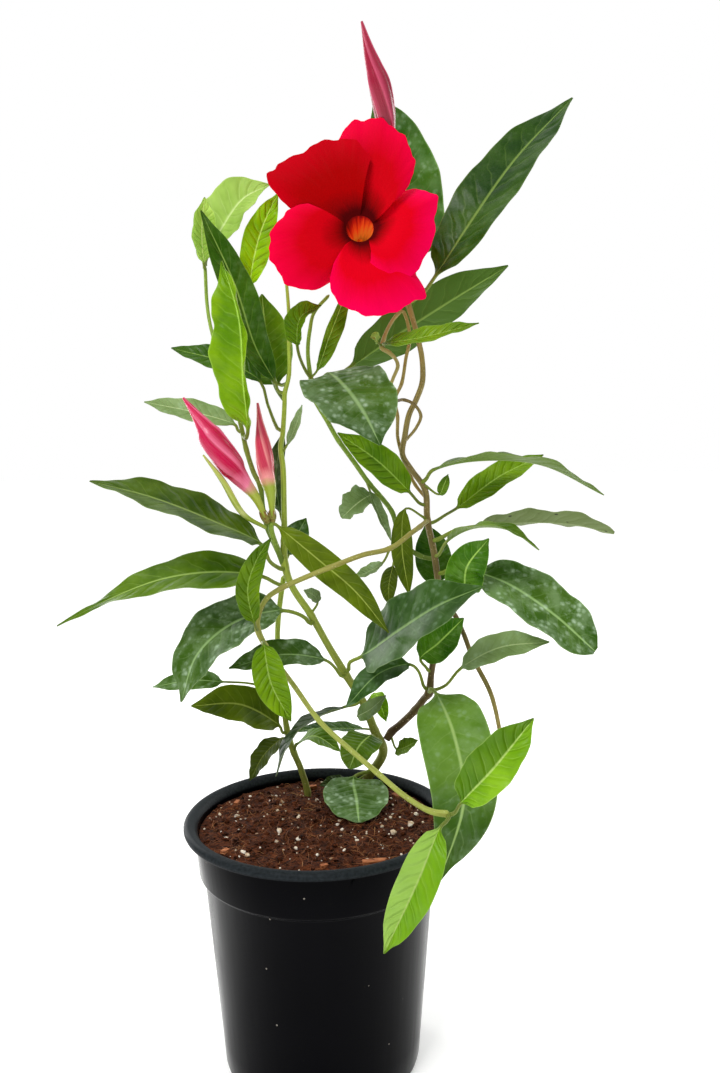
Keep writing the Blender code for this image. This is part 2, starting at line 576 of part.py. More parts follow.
def make_material(name, colour, roughness):
    material = bpy.data.materials.new(name)
    material.use_nodes = True
    shader = material.node_tree.nodes["Principled BSDF"]
    shader.inputs["Base Color"].default_value = (*colour, 1)
    shader.inputs["Roughness"].default_value = roughness
    material.diffuse_color = (*colour, 1)
    return material


def add_object(name, mesh, group, material=None):
    item = bpy.data.objects.new(name, mesh)
    group.objects.link(item)
    if material:
        mesh.materials.clear()
        mesh.materials.append(material)
    return item


def add_cutter(name, mesh):
    item = add_object(name, mesh, cutters)
    item.hide_render = True
    item.display_type = "WIRE"
    return item


def smooth(item, angle=radians(50)):
    item.data.shade_smooth()
    item.data.set_sharp_from_angle(angle=angle)


def boolean(item, other, operation, solver="EXACT"):
    step = item.modifiers.new(other.name, "BOOLEAN")
    step.operation = operation
    step.object = other
    step.solver = solver


def settled_copy(item):
    """The evaluated mesh of an object, welded, in world space."""
    bpy.context.view_layer.update()
    seen = item.evaluated_get(bpy.context.evaluated_depsgraph_get())
    mesh = bpy.data.meshes.new_from_object(seen)
    mesh.transform(item.matrix_world)
    body = bmesh.new()
    body.from_mesh(mesh)
    bmesh.ops.remove_doubles(body, verts=body.verts, dist=0.00001)
    bmesh.ops.recalc_face_normals(body, faces=body.faces)
    body.to_mesh(mesh)
    body.free()
    return mesh


# Curved routes

def unit(vector):
    return vector / np.linalg.norm(vector)


def smooth_route(points, per_span):
    """Points of a centripetal Catmull-Rom curve through the given points."""
    points = [np.array(p, float) for p in points]
    padded = [2 * points[0] - points[1], *points, 2 * points[-1] - points[-2]]
    route = []
    for before, start, end, after in zip(padded, padded[1:], padded[2:], padded[3:]):
        t1 = max(np.linalg.norm(start - before), 1e-6) ** 0.5
        t2 = t1 + max(np.linalg.norm(end - start), 1e-6) ** 0.5
        t3 = t2 + max(np.linalg.norm(after - end), 1e-6) ** 0.5
        for step in range(per_span):
            t = t1 + (t2 - t1) * step / per_span
            a1 = before + (start - before) * t / t1
            a2 = start + (end - start) * (t - t1) / (t2 - t1)
            a3 = end + (after - end) * (t - t2) / (t3 - t2)
            b1 = a1 + (a2 - a1) * t / t2
            b2 = a2 + (a3 - a2) * (t - t1) / (t3 - t1)
            route.append(b1 + (b2 - b1) * (t - t1) / (t2 - t1))
    route.append(points[-1])
    return np.array(route)


def at_shares(route, shares):
    """Points at given shares of a route's length."""
    steps = np.linalg.norm(np.diff(route, axis=0), axis=1)
    run = np.concatenate([[0], np.cumsum(steps)])
    run = run / run[-1]
    return np.stack([np.interp(shares, run, route[:, k]) for k in range(3)], -1)


def directions(points):
    ways = np.gradient(points, axis=0)
    ways[0] = points[1] - points[0]
    ways[-1] = points[-1] - points[-2]
    return np.array([unit(way) for way in ways])


# Stems

def stem_tube(name, points, per_span):
    """A tube along a stem's route, thicker or thinner from point to point."""
    places = [p[:3] for p in points]
    radii = [p[3] for p in points]
    route = smooth_route(places, per_span)
    sizes = np.interp(np.linspace(0, 1, len(route)), np.linspace(0, 1, len(radii)), radii)
    curve = bpy.data.curves.new(name, "CURVE")
    curve.dimensions = "3D"
    curve.bevel_depth = MM
    curve.bevel_resolution = 1
    curve.use_fill_caps = True
    spline = curve.splines.new("POLY")
    spline.points.add(len(route) - 1)
    for knot, place, size in zip(spline.points, route, sizes):
        knot.co = (*(place * MM), 1)
        knot.radius = size
    item = add_object(name, curve, cutters)
    mesh = settled_copy(item)
    bpy.data.objects.remove(item, do_unlink=True)
    return mesh


def foot_on_stem(near, toward):
    """Where a stalk starts: beside the nearest stem, square to it, a hair off the bark."""
    best = None
    for points in STEMS.values():
        route = smooth_route([p[:3] for p in points], 12)
        shares = np.linspace(0, 1, len(points))
        radii = np.interp(np.linspace(0, 1, len(route)), shares, [p[3] for p in points])
        distance = np.linalg.norm(route - near, axis=1)
        spot = int(distance.argmin())
        if best is None or distance[spot] < best[0]:
            along = directions(route)[spot]
            at_end = spot == len(route) - 1
            best = (distance[spot], route[spot], along, radii[spot], at_end)
    _, axis, along, radius, at_end = best
    away = toward - axis
    if at_end and unit(away) @ along > 0.5:
        out, radius = along, 0.0
    else:
        out = unit(away - along * (away @ along))
    foot = axis + out * (radius + JOINT_REACH)
    elbow = axis + out * (radius + JOINT_REACH + 1.9) + unit(away) * 0.6
    return foot, elbow


# Leaves

def stalk_radius(leaf):
    if leaf.width > 20:
        return STALK_RADIUS
    return SLIM_STALK_RADIUS if leaf.width > 11 else SMALL_STALK_RADIUS


def leaf_axis(leaf, fused):
    """The stalk's points and the midrib's points of a leaf."""
    stalk = [np.array(p, float) for p in leaf.stalk]
    blade = [np.array(p, float) for p in leaf.blade]
    if not fused:
        toward = stalk[1] if len(stalk) > 1 else blade[0]
        foot, elbow = foot_on_stem(stalk[0], toward)
        rest = [p for p in stalk[1:] if np.linalg.norm(p - foot) > 4]
        stalk = [foot, elbow, *rest]
        if np.linalg.norm(blade[0] - elbow) < 2:
            stalk = [foot]
    return stalk, blade


def leaf_frames(points, middle, face):
    """Directions along a leaf, and its upper side's directions, without needless twist."""
    along = directions(points)
    up = np.zeros_like(points)
    face = np.array(face, float)
    up[middle] = unit(face - along[middle] * (face @ along[middle]))
    for order in (range(middle + 1, len(points)), range(middle - 1, -1, -1)):
        last = middle
        for spot in order:
            up[spot] = unit(up[last] - along[spot] * (up[last] @ along[spot]))
            last = spot
    return along, up


def blade_section(leaf, place, side, up, share, half):
    """Top and bottom points across the blade at one share of its length."""
    ease = min(1, share / 0.12)
    thick = BLADE_THICKNESS / 2 * ease + stalk_radius(leaf) * 0.8 * (1 - ease)
    fold = radians(leaf.fold) * min(1, share / 0.1)
    fade = min(1, share / 0.15) * min(1, (1 - share) / 0.15)
    top, bottom = [], []
    for across in np.linspace(-1, 1, leaf.across):
        reach = abs(across)
        rise = reach * half * sin(fold) * (1 if leaf.across == 3 else reach ** 0.35)
        turn = 2 * pi * (WAVES * share + leaf.phase) + (0 if across < 0 else 1.9)
        rise += leaf.wave * sin(turn) * reach ** 2 * fade
        middle = place + side * across * half * cos(fold) + up * rise
        if across == 0:
            normal = up / cos(fold)
        else:
            normal = up * cos(fold) - side * np.sign(across) * sin(fold)
        top.append(middle + normal * thick)
        bottom.append(middle - normal * thick)
    return top + bottom[::-1]


def stalk_section(leaf, place, side, up):
    """Points round the stalk, in the order of the blade's points."""
    count = 2 * leaf.across
    ring = []
    for spot in range(count):
        angle = pi / 2 + pi / leaf.across * ((leaf.across - 1) / 2 - spot)
        ring.append(place + stalk_radius(leaf) * (cos(angle) * side + sin(angle) * up))
    return ring


def leaf_mesh(name, leaf, fused=False):
    """One loft from the stalk's round foot to the thin blade's tip."""
    stalk, blade = leaf_axis(leaf, fused)
    route = smooth_route(stalk + blade, 16)
    stalk_end = len(stalk) * 16
    shares = SMALL_STATIONS if leaf.width < SLIM_LEAF else LARGE_STATIONS
    stalk_steps = 3 if len(stalk) > 1 else 2
    stalk_points = at_shares(route[:stalk_end + 1], np.linspace(0, 1, stalk_steps))[:-1]
    blade_points = at_shares(route[stalk_end:], shares)
    points = np.vstack([stalk_points, blade_points])
    first = len(stalk_points)
    along, up = leaf_frames(points, first + len(shares) // 2 - 1, leaf.face)
    halves = np.interp(shares, *zip(*leaf.outline)) * leaf.width / 2
    rings = []
    for spot, place in enumerate(points):
        side = np.cross(along[spot], up[spot])
        if spot < first:
            rings.append(stalk_section(leaf, place, side, up[spot]))
        else:
            share = shares[spot - first]
            half = max(halves[spot - first], 0.45)
            rings.append(blade_section(leaf, place, side, up[spot], share, half))
    return loft_mesh(name, rings)


def loft_mesh(name, rings):
    """A closed body over rings of equal count, with alike triangles on both faces."""
    body = bmesh.new()
    rows = [[body.verts.new(Vector(p) * MM) for p in ring] for ring in rings]
    count = len(rings[0])
    half = count // 2
    for low, high in zip(rows, rows[1:]):
        for spot in range(count):
            after = (spot + 1) % count
            a, b, c, d = low[spot], low[after], high[after], high[spot]
            if half <= spot < count - 1:
                corners = ((a, b, d), (b, c, d))
            else:
                corners = ((a, b, c), (a, c, d))
            for triangle in corners:
                body.faces.new(triangle)
    for row in (rows[0], rows[-1]):
        for spot in range(half - 1):
            body.faces.new((row[spot], row[spot + 1], row[-spot - 2], row[-spot - 1]))
    bmesh.ops.recalc_face_normals(body, faces=body.faces)
    mesh = bpy.data.meshes.new(name)
    body.to_mesh(mesh)
    body.free()
    return mesh


def build_leaves():
    for name, leaf in LEAVES.items():
        item = add_object(name, leaf_mesh(name, leaf), plant, materials[leaf.green])
        smooth(item)


# Stems with the small leaves and tips that grow out of them

def build_stems():
    for name, (routes, leaves, per_span) in STEM_NODES.items():
        tubes = [stem_tube(route, STEMS[route], per_span) for route in routes]
        item = add_object(name, tubes[0], plant, materials["stem"])
        for route, mesh in zip(routes[1:], tubes[1:]):
            boolean(item, add_cutter(route, mesh), "UNION", "MANIFOLD")
        for small in leaves:
            mesh = leaf_mesh(small, SMALL_LEAVES[small], fused=True)
            boolean(item, add_cutter(small, mesh), "UNION", "MANIFOLD")
        smooth(item)


# Buds

def bud_mesh(name, bud):
    """A spindle with five spiral folds, from its stalk end to its tip."""
    route = smooth_route(bud["axis"], 16)
    shares = np.linspace(0, 1, len(bud["radii"]))
    points = at_shares(route, shares)
    along, up = leaf_frames(points, len(points) // 2, (0, -1, 0))
    rings = []
    for spot, (place, radius) in enumerate(zip(points, bud["radii"])):
        side = np.cross(along[spot], up[spot])
        ring = []
        for corner in range(10):
            angle = 2 * pi * corner / 10 + bud["twist"] * shares[spot]
            reach = radius * (1 + bud["ridge"] * (1 if corner % 2 else -1))
            ring.append(place + reach * (cos(angle) * side + sin(angle) * up[spot]))
        rings.append(ring)
    return loft_mesh(name, rings)


def build_buds():
    for name, bud in BUDS.items():
        item = add_object(name, bud_mesh(name, bud), plant, materials[bud["colour"]])
        smooth(item)


# Bloom: five overlapping petals on a hollow tube, with the anther cone inside

def turned(name, profile, steps):
    """A body turned round +Z from (radius, height) points, outer side downwards."""
    mesh = bpy.data.meshes.new(name)
    points = [(r * MM, 0, z * MM) for r, z in profile]
    edges = [(k, k + 1) for k in range(len(points) - 1)]
    mesh.from_pydata(points, edges, [])
    item = add_object(name, mesh, plant)
    screw = item.modifiers.new("turn", "SCREW")
    screw.axis = "Z"
    screw.angle = 2 * pi
    screw.steps = steps
    screw.render_steps = steps
    screw.use_merge_vertices = True
    screw.merge_threshold = 0.0001
    screw.use_normal_calculate = False
    return item


def petal_point(petal, u, v):
    """A point of a petal in the bloom's own frame: +Z is the way that it looks."""
    edge_angles, reaches = zip(*petal["edge"])
    spots = np.linspace(0, 1, len(edge_angles))
    edge_angle = np.interp(u, spots, edge_angles)
    reach = np.interp(u, spots, reaches)
    root_angle = petal["root"] + (0.5 - u) * 66
    ease = v ** 0.7
    angle = radians(root_angle + (edge_angle - root_angle) * ease)
    inner = THROAT_RADIUS - 0.5
    radius = inner + (reach - inner) * v
    # the first listed edge lies behind its neighbour and the last one in front
    height = PETAL_PITCH * (2 * u - 1) * v ** 0.8
    height += PETAL_BOWL * (sin(pi * min(1, v)) - 0.5 * v * v)
    height += petal.get("cup", 0) * (2 * u - 1) ** 2 * v
    return Vector((radius * cos(angle), radius * sin(angle), height)) * MM


def petal_object(name, petal):
    body = bmesh.new()
    bmesh.ops.create_grid(body, x_segments=8, y_segments=5, size=0.5)
    for vert in body.verts:
        vert.co = petal_point(petal, vert.co.x + 0.5, vert.co.y + 0.5)
    mesh = bpy.data.meshes.new(name)
    body.to_mesh(mesh)
    body.free()
    item = add_cutter(name, mesh)
    shell = item.modifiers.new("thickness", "SOLIDIFY")
    shell.thickness = PETAL_THICKNESS * MM
    shell.offset = 0
    return item


def face_bloom(item, shift=0.0):
    """Turn a body made round +Z to look the bloom's way, shift mm along that way."""
    item.rotation_euler = (pi / 2 - BLOOM_LEAN, 0, 0)
    way = Vector((0, -cos(BLOOM_LEAN), sin(BLOOM_LEAN)))
    item.location = (Vector(BLOOM_CENTRE) + way * shift) * MM


def build_bloom():
    r = THROAT_RADIUS
    wall = 0.8
    length = TUBE_LENGTH
    profile = [
        (0, -20), (2.6, -20), (3.6, -16), (5.2, -9), (r - wall, 0), (r - wall / 2, 0.8),
        (r + 0.6, 0.4), (r + 1.0, -4), (r + 0.4, -10), (4.9, -17), (3.2, -25),
        (2.3, -33), (2.2, -38), (3.0, -40.5), (2.6, -length + 0.5), (1.6, -length), (0, -length),
    ]
    bloom = turned("bloom", profile, 14)
    bloom.data.materials.append(materials["petal"])
    face_bloom(bloom)
    for name, petal in PETALS.items():
        item = petal_object(name, petal)
        face_bloom(item)
        boolean(bloom, item, "UNION", "MANIFOLD")
    smooth(bloom)

    body = bmesh.new()
    bmesh.ops.create_cone(body, cap_ends=True, segments=10, radius1=2.1 * MM,
                          radius2=0.7 * MM, depth=CONE_LENGTH * MM)
    mesh = bpy.data.meshes.new("anther_cone")
    body.to_mesh(mesh)
    body.free()
    cone = add_object("anther_cone", mesh, plant, materials["anther"])
    face_bloom(cone, -20 + GAP + CONE_LENGTH / 2)
    smooth(cone)


# Pot and potting mix

def inner_radius(height):
    """The pot's inside radius at a height."""
    heights = (POT_FLOOR, COLLAR_HEIGHT - 2, COLLAR_HEIGHT, RIM_HEIGHT - RIM_DROP)
    radii = (FOOT_RADIUS - POT_WALL, BODY_RADIUS - POT_WALL, STEP_RADIUS - POT_WALL,
             COLLAR_RADIUS - POT_WALL)
    return float(np.interp(height, heights, radii))


def build_pot():
    top = RIM_HEIGHT
    low = COLLAR_HEIGHT
    profile = [
        (0, POT_FLOOR), (inner_radius(POT_FLOOR), POT_FLOOR),
        (inner_radius(low - 2), low - 2), (inner_radius(low), low),
        (inner_radius(top - 4), top - 4), (COLLAR_RADIUS + 0.3, top - 0.8),
        (COLLAR_RADIUS + 2.2, top), (RIM_RADIUS - 1.6, top - 0.3), (RIM_RADIUS, top - 1.6),
        (RIM_RADIUS - 0.2, top - RIM_DROP), (RIM_RADIUS - 1.4, top - RIM_DROP),
        (COLLAR_RADIUS, top - RIM_DROP - 0.5), (STEP_RADIUS, low),
        (BODY_RADIUS, low - 1.6), (FOOT_RADIUS, 3), (FOOT_RADIUS - 2, 0), (0, 0),
    ]
    pot = turned("pot", profile, POT_STEPS)
    pot.data.materials.append(materials["pot"])
    for hole in range(DRAIN_HOLES):
        angle = 2 * pi * hole / DRAIN_HOLES + pi / 6
        body = bmesh.new()
        bmesh.ops.create_cone(body, cap_ends=True, segments=12, radius1=DRAIN_RADIUS * MM,
                              radius2=DRAIN_RADIUS * MM, depth=8 * MM)
        mesh = bpy.data.meshes.new("drain")
        body.to_mesh(mesh)
        body.free()
        cutter = add_cutter("drain_%d" % hole, mesh)
        cutter.location = (DRAIN_CIRCLE * MM * cos(angle), DRAIN_CIRCLE * MM * sin(angle), 0)
        boolean(pot, cutter, "DIFFERENCE")
    smooth(pot, radians(40))


def build_soil():
    edge = inner_radius(SOIL_HEIGHT) - GAP
    low = COLLAR_HEIGHT
    crown = SOIL_HEIGHT + SOIL_CROWN
    profile = [
        (0, crown), (16, crown), (32, crown - 0.4), (46, crown - 1.2), (edge, SOIL_HEIGHT),
        (inner_radius(low) - GAP, low), (inner_radius(low - 2) - GAP, low - 2),
        (inner_radius(POT_FLOOR) - GAP, POT_FLOOR + GAP), (0, POT_FLOOR + GAP),
    ]
    soil = turned("potting_mix", profile, POT_STEPS)
    soil.data.materials.append(materials["soil"])
    for name in ROOTED:
        x, y, _, radius = STEMS[name][0]
        size = (radius + SOIL_HOLE_PLAY) * MM
        depth = 40.0
        body = bmesh.new()
        bmesh.ops.create_cone(body, cap_ends=True, segments=12, radius1=size,
                              radius2=size, depth=depth * MM)
        mesh = bpy.data.meshes.new("hole")
        body.to_mesh(mesh)
        body.free()
        cutter = add_cutter("hole_" + name, mesh)
        cutter.location = (x * MM, y * MM, (SOIL_HOLE_BOTTOM + depth / 2) * MM)
        boolean(soil, cutter, "DIFFERENCE")
    smooth(soil, radians(40))


clear_scene()
plant = make_collection("mandevilla_in_pot")
cutters = make_collection("cutters")
materials = {
    name: make_material(name, colour, roughness)
    for name, (colour, roughness) in LOOKS.items()
}
build_pot()
build_soil()
build_stems()
build_leaves()
build_buds()
build_bloom()
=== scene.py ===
"""Mandevilla with one open bloom and four buds in a black nursery pot, dressed over its CAD frame.

Lengths in the sections below are millimetres, +Z up, with the origin under the middle
of the pot, and MM turns them into metres.
"""
import random
from math import cos, exp, pi, radians, sin

import bmesh
import bpy
import numpy as np
from mathutils import Matrix, Vector, noise


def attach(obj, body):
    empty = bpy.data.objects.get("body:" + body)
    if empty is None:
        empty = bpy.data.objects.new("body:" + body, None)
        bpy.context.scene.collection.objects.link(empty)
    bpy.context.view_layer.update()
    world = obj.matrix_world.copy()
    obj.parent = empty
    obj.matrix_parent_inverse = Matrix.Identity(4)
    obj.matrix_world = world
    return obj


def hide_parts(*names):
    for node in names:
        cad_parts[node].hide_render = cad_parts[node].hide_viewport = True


MM = 0.001

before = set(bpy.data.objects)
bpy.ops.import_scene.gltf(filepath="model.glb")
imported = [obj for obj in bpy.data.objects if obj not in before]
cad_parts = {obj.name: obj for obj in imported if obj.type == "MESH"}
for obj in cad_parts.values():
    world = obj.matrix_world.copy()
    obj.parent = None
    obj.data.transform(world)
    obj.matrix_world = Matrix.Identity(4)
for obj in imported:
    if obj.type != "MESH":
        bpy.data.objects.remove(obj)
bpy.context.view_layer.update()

# A 12 cm nursery pot, moulded in one thin skin of glossy black plastic with a collar
# under a flared rim. The rim is rubbed to a grey satin, and six holes drain the base.
RIM_RADIUS = 60.0
RIM_HEIGHT = 112.0
RIM_DROP = 3.4
COLLAR_RADIUS = 55.2
COLLAR_HEIGHT = 90.0
STEP_RADIUS = 53.7
BODY_RADIUS = 51.3
FOOT_RADIUS = 44.2
POT_WALL = 1.5
POT_FLOOR = 2.0
DRAIN_HOLES = 6
DRAIN_RADIUS = 4.0
DRAIN_CIRCLE = 28.0
DRAIN_SIDES = 16
BASE_DISH = 18.0                # the flat middle of the base
BASE_HOLLOW = 0.6               # how far the base is raised off the floor
TAPER_FOOT = 14.0               # height below which the wall flares a little
POT_STEPS = 160


def linear(code):
    """A colour picked as an sRGB hex code, turned linear for the shaders."""
    parts = [int(code[k:k + 2], 16) / 255 for k in (1, 3, 5)]
    return (*[p / 12.92 if p <= 0.04045 else ((p + 0.055) / 1.055) ** 2.4 for p in parts], 1)


def add(tree, kind, links=None, out=0, stops=None, span=(), **settings):
    """Add one node with its settings and what goes into it, and return one of its outputs.
    A colour goes in as its hex code, and a span as the range to read and the range to give."""
    item = tree.nodes.new("ShaderNode" + kind)
    for name, value in settings.items():
        setattr(item, name, value)
    if stops:
        stops = [(place, linear(code)) for place, code in stops]
        ramp = item.color_ramp
        ramp.elements[0].position, ramp.elements[0].color = stops[0]
        ramp.elements[1].position, ramp.elements[1].color = stops[-1]
        for place, colour in stops[1:-1]:
            ramp.elements.new(place).color = colour
    for end, value in zip(("From Min", "From Max", "To Min", "To Max"), span):
        item.inputs[end].default_value = value
    for name, value in (links or {}).items():
        if isinstance(value, bpy.types.NodeSocket):
            tree.links.new(value, item.inputs[name])
        else:
            is_code = isinstance(value, str)
            item.inputs[name].default_value = linear(value) if is_code else value
    return item.outputs[out]


def finish(name, **values):
    """A new material, its tree and its shader, with even values set on the shader itself."""
    material = bpy.data.materials.new(name)
    material.use_nodes = True
    tree = material.node_tree
    shader = tree.nodes["Principled BSDF"]
    for key, value in values.items():
        socket = key.replace("_", " ").title().replace("Ior", "IOR")
        shader.inputs[socket].default_value = value
    return material, tree, shader


def feed(tree, shader, **sockets):
    """Link what varies over the surface into the shader."""
    for key, socket in sockets.items():
        tree.links.new(socket, shader.inputs[key.replace("_", " ").title()])


def piece(name, body, materials, nodes=(), sharp=50):
    """Turn a bmesh into a finished piece that rides on the part."""
    bmesh.ops.recalc_face_normals(body, faces=body.faces)
    mesh = bpy.data.meshes.new(name)
    body.to_mesh(mesh)
    body.free()
    for material in materials:
        mesh.materials.append(material)
    mesh.shade_smooth()
    mesh.set_sharp_from_angle(angle=radians(sharp))
    item = bpy.data.objects.new(name, mesh)
    bpy.context.scene.collection.objects.link(item)
    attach(item, "root")
    if nodes:
        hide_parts(*nodes)
    return item


def inner_radius(height):
    """The pot's inside radius at a height."""
    heights = (POT_FLOOR, COLLAR_HEIGHT - 2, COLLAR_HEIGHT, RIM_HEIGHT - RIM_DROP)
    radii = (FOOT_RADIUS - POT_WALL, BODY_RADIUS - POT_WALL, STEP_RADIUS - POT_WALL,
             COLLAR_RADIUS - POT_WALL)
    return float(np.interp(height, heights, radii))


def turned(profile, steps):
    """A bmesh spun once round +Z from (radius, height) points."""
    body = bmesh.new()
    dots = [body.verts.new((r * MM, 0, z * MM)) for r, z in profile]
    edges = [body.edges.new(pair) for pair in zip(dots, dots[1:])]
    bmesh.ops.spin(body, geom=dots + edges, cent=(0, 0, 0), axis=(0, 0, 1), angle=2 * pi,
                   steps=steps, use_merge=True)
    bmesh.ops.remove_doubles(body, verts=body.verts, dist=0.002 * MM)
    return body


BLEND = {"out": 2, "data_type": "RGBA"}     # what makes a Mix node blend colours

# Injection-moulded black polypropylene: a deep gloss with faint upright flow lines, some
# specks of dust, and a paler, rubbed satin band on the rim
pot_black, tree, shader = finish("glossy_black_plastic", specular_ior_level=0.035)
spot = add(tree, "TexCoord", out=3)
height = add(tree, "SeparateXYZ", {0: spot}, out=2)
rim_band = add(tree, "MapRange", {"Value": height}, span=(108.2 * MM, 109.6 * MM))
flow = add(tree, "Mapping", {"Vector": spot, "Scale": (1, 1, 0.03)})
flow = add(tree, "TexNoise", {"Vector": flow, "Scale": 1000 / 5, "Detail": 3})
smudge = add(tree, "TexNoise", {"Vector": spot, "Scale": 1000 / 22, "Detail": 5})
scuff = add(tree, "TexNoise", {"Vector": spot, "Scale": 1000 / 1.2, "Detail": 4})
dust = add(tree, "TexVoronoi", {"Vector": spot, "Scale": 1000 / 9})
dust = add(tree, "MapRange", {"Value": dust}, span=(0.035, 0.06, 1.0, 0.0))
body_tone = add(tree, "ValToRGB", {0: smudge}, stops=[(0.35, "#010103"), (0.75, "#020205")])
rim_tone = add(tree, "ValToRGB", {0: scuff}, stops=[(0.3, "#1A1E20"), (0.75, "#2B3033")])
tone = add(tree, "Mix", {0: rim_band, 6: body_tone, 7: rim_tone}, **BLEND)
tone = add(tree, "Mix", {0: dust, 6: tone, 7: "#8B857C"}, **BLEND)
gloss = add(tree, "MapRange", {"Value": smudge}, span=(0.3, 0.75, 0.10, 0.22))
satin = add(tree, "MapRange", {"Value": scuff}, span=(0.3, 0.7, 0.36, 0.52))
rough = add(tree, "Mix", {0: rim_band, 2: gloss, 3: satin}, data_type="FLOAT")
relief = add(tree, "Bump", {"Strength": 0.25, "Distance": 0.3 * MM, "Height": flow})
relief = add(tree, "Bump", {"Strength": 0.06, "Distance": 0.08 * MM, "Height": scuff,
                            "Normal": relief})
feed(tree, shader, base_color=tone, roughness=rough, normal=relief)

top, low = RIM_HEIGHT, COLLAR_HEIGHT
shell = turned([
    (0, POT_FLOOR), (BASE_DISH, POT_FLOOR), (inner_radius(POT_FLOOR) - 2, POT_FLOOR),
    (inner_radius(POT_FLOOR) + 0.3, POT_FLOOR + 2), (inner_radius(low - 2), low - 2),
    (inner_radius(low), low), (inner_radius(top - 4), top - 4), (COLLAR_RADIUS - 0.6, top - 2),
    (COLLAR_RADIUS + 0.4, top - 0.7), (COLLAR_RADIUS + 2.2, top), (RIM_RADIUS - 1.8, top - 0.1),
    (RIM_RADIUS - 0.7, top - 0.5), (RIM_RADIUS, top - 1.5), (RIM_RADIUS, top - 2.6),
    (RIM_RADIUS - 0.4, top - RIM_DROP), (RIM_RADIUS - 1.4, top - RIM_DROP),
    (COLLAR_RADIUS + 0.8, top - RIM_DROP - 0.1), (COLLAR_RADIUS, top - RIM_DROP - 0.9),
    (STEP_RADIUS, low + 0.5), (STEP_RADIUS - 0.3, low - 0.3), (BODY_RADIUS + 0.5, low - 1.3),
    (BODY_RADIUS, low - 2.2), (FOOT_RADIUS + 0.9, TAPER_FOOT), (FOOT_RADIUS, 3),
    (FOOT_RADIUS - 0.6, 0.8), (FOOT_RADIUS - 2, 0), (FOOT_RADIUS - 4, 0),
    (FOOT_RADIUS - 5, BASE_HOLLOW), (BASE_DISH, BASE_HOLLOW), (0, BASE_HOLLOW),
], POT_STEPS)
in_base = (POT_FLOOR + 0.1) * MM
for hole in range(DRAIN_HOLES):
    angle = 2 * pi * hole / DRAIN_HOLES + pi / 6
    middle = Vector((DRAIN_CIRCLE * cos(angle), DRAIN_CIRCLE * sin(angle), 0)) * MM
    for side in range(DRAIN_SIDES):
        turn = 2 * pi * side / DRAIN_SIDES
        way = Vector((cos(turn), sin(turn), 0))
        near = [face for face in shell.faces if face.calc_center_median().z < in_base
                and (face.calc_center_median().xy - middle.xy).length < 4 * DRAIN_RADIUS * MM]
        parts = set(near)
        for face in near:
            parts.update(face.edges)
            parts.update(face.verts)
        bmesh.ops.bisect_plane(shell, geom=list(parts), dist=1e-7,
                               plane_co=middle + way * DRAIN_RADIUS * MM, plane_no=way)
    inside = [face for face in shell.faces if face.calc_center_median().z < in_base
              and (face.calc_center_median().xy - middle.xy).length < DRAIN_RADIUS * MM]
    bmesh.ops.delete(shell, geom=inside, context="FACES")
    rims = [edge for edge in shell.edges if edge.is_boundary]
    bmesh.ops.bridge_loops(shell, edges=rims)
piece("nursery_pot", shell, [pot_black], ["pot"], sharp=38)

# Damp reddish coco peat, filled loose to just under the rim: a crumbly dark top full of
# short fibres, with white perlite grains and a few chips of bark pressed into it.
SOIL_HEIGHT = 107.0
WALL_GAP = 0.3
CRUMBS, FIBRES, GRAINS = 900, 640, 190
SCATTER = 52.0                  # how far out loose grains lie

# Coco peat: brown crumbs from nearly black to rust, matt and rough at every scale
soil_brown, tree, shader = finish("damp_coco_peat", specular_ior_level=0.1)
spot = add(tree, "TexCoord", out=3)
clods = add(tree, "TexNoise", {"Vector": spot, "Scale": 1000 / 4, "Detail": 6, "Roughness": 0.7})
threads = add(tree, "Mapping", {"Vector": spot, "Rotation": (0.4, 0.3, 0.8), "Scale": (1, 6, 2)})
threads = add(tree, "TexNoise", {"Vector": threads, "Scale": 1000 / 3, "Detail": 5,
                                 "Distortion": 1.5})
grit = add(tree, "TexVoronoi", {"Vector": spot, "Scale": 1000 / 0.9})
tone = add(tree, "ValToRGB", {0: clods}, stops=[(0.36, "#0C0402"),
                                                (0.52, "#32160A"),
                                                (0.70, "#6C3B22")])
strand = add(tree, "ValToRGB", {0: threads}, stops=[(0.50, "#000000"), (0.66, "#FFFFFF")])
tone = add(tree, "Mix", {0: strand, 6: tone, 7: "#6C391E"}, **BLEND)
damp = add(tree, "MapRange", {"Value": clods}, span=(0.3, 0.7, 0.72, 0.98))
relief = add(tree, "Bump", {"Strength": 0.8, "Distance": 0.9 * MM, "Height": clods})
relief = add(tree, "Bump", {"Strength": 0.6, "Distance": 0.4 * MM, "Height": grit,
                            "Normal": relief})
feed(tree, shader, base_color=tone, roughness=damp, normal=relief)


def soil_top(x, y):
    """Height of the loose surface, lower where it meets the wall."""
    reach = (x * x + y * y) ** 0.5
    rise = np.interp(reach, (0, 16, 32, 46, 53.6), (2.0, 2.0, 1.6, 0.8, 0.0))
    lumps = noise.noise(Vector((x, y, 3.0)) / 7.0) * 1.1
    lumps += noise.noise(Vector((x, y, 9.0)) / 2.3) * 0.8
    lumps += noise.noise(Vector((x, y, 5.0)) / 0.9) * 0.35
    return SOIL_HEIGHT + rise + lumps * min(1.0, (53.4 - reach) / 4 + 0.25) - 0.3


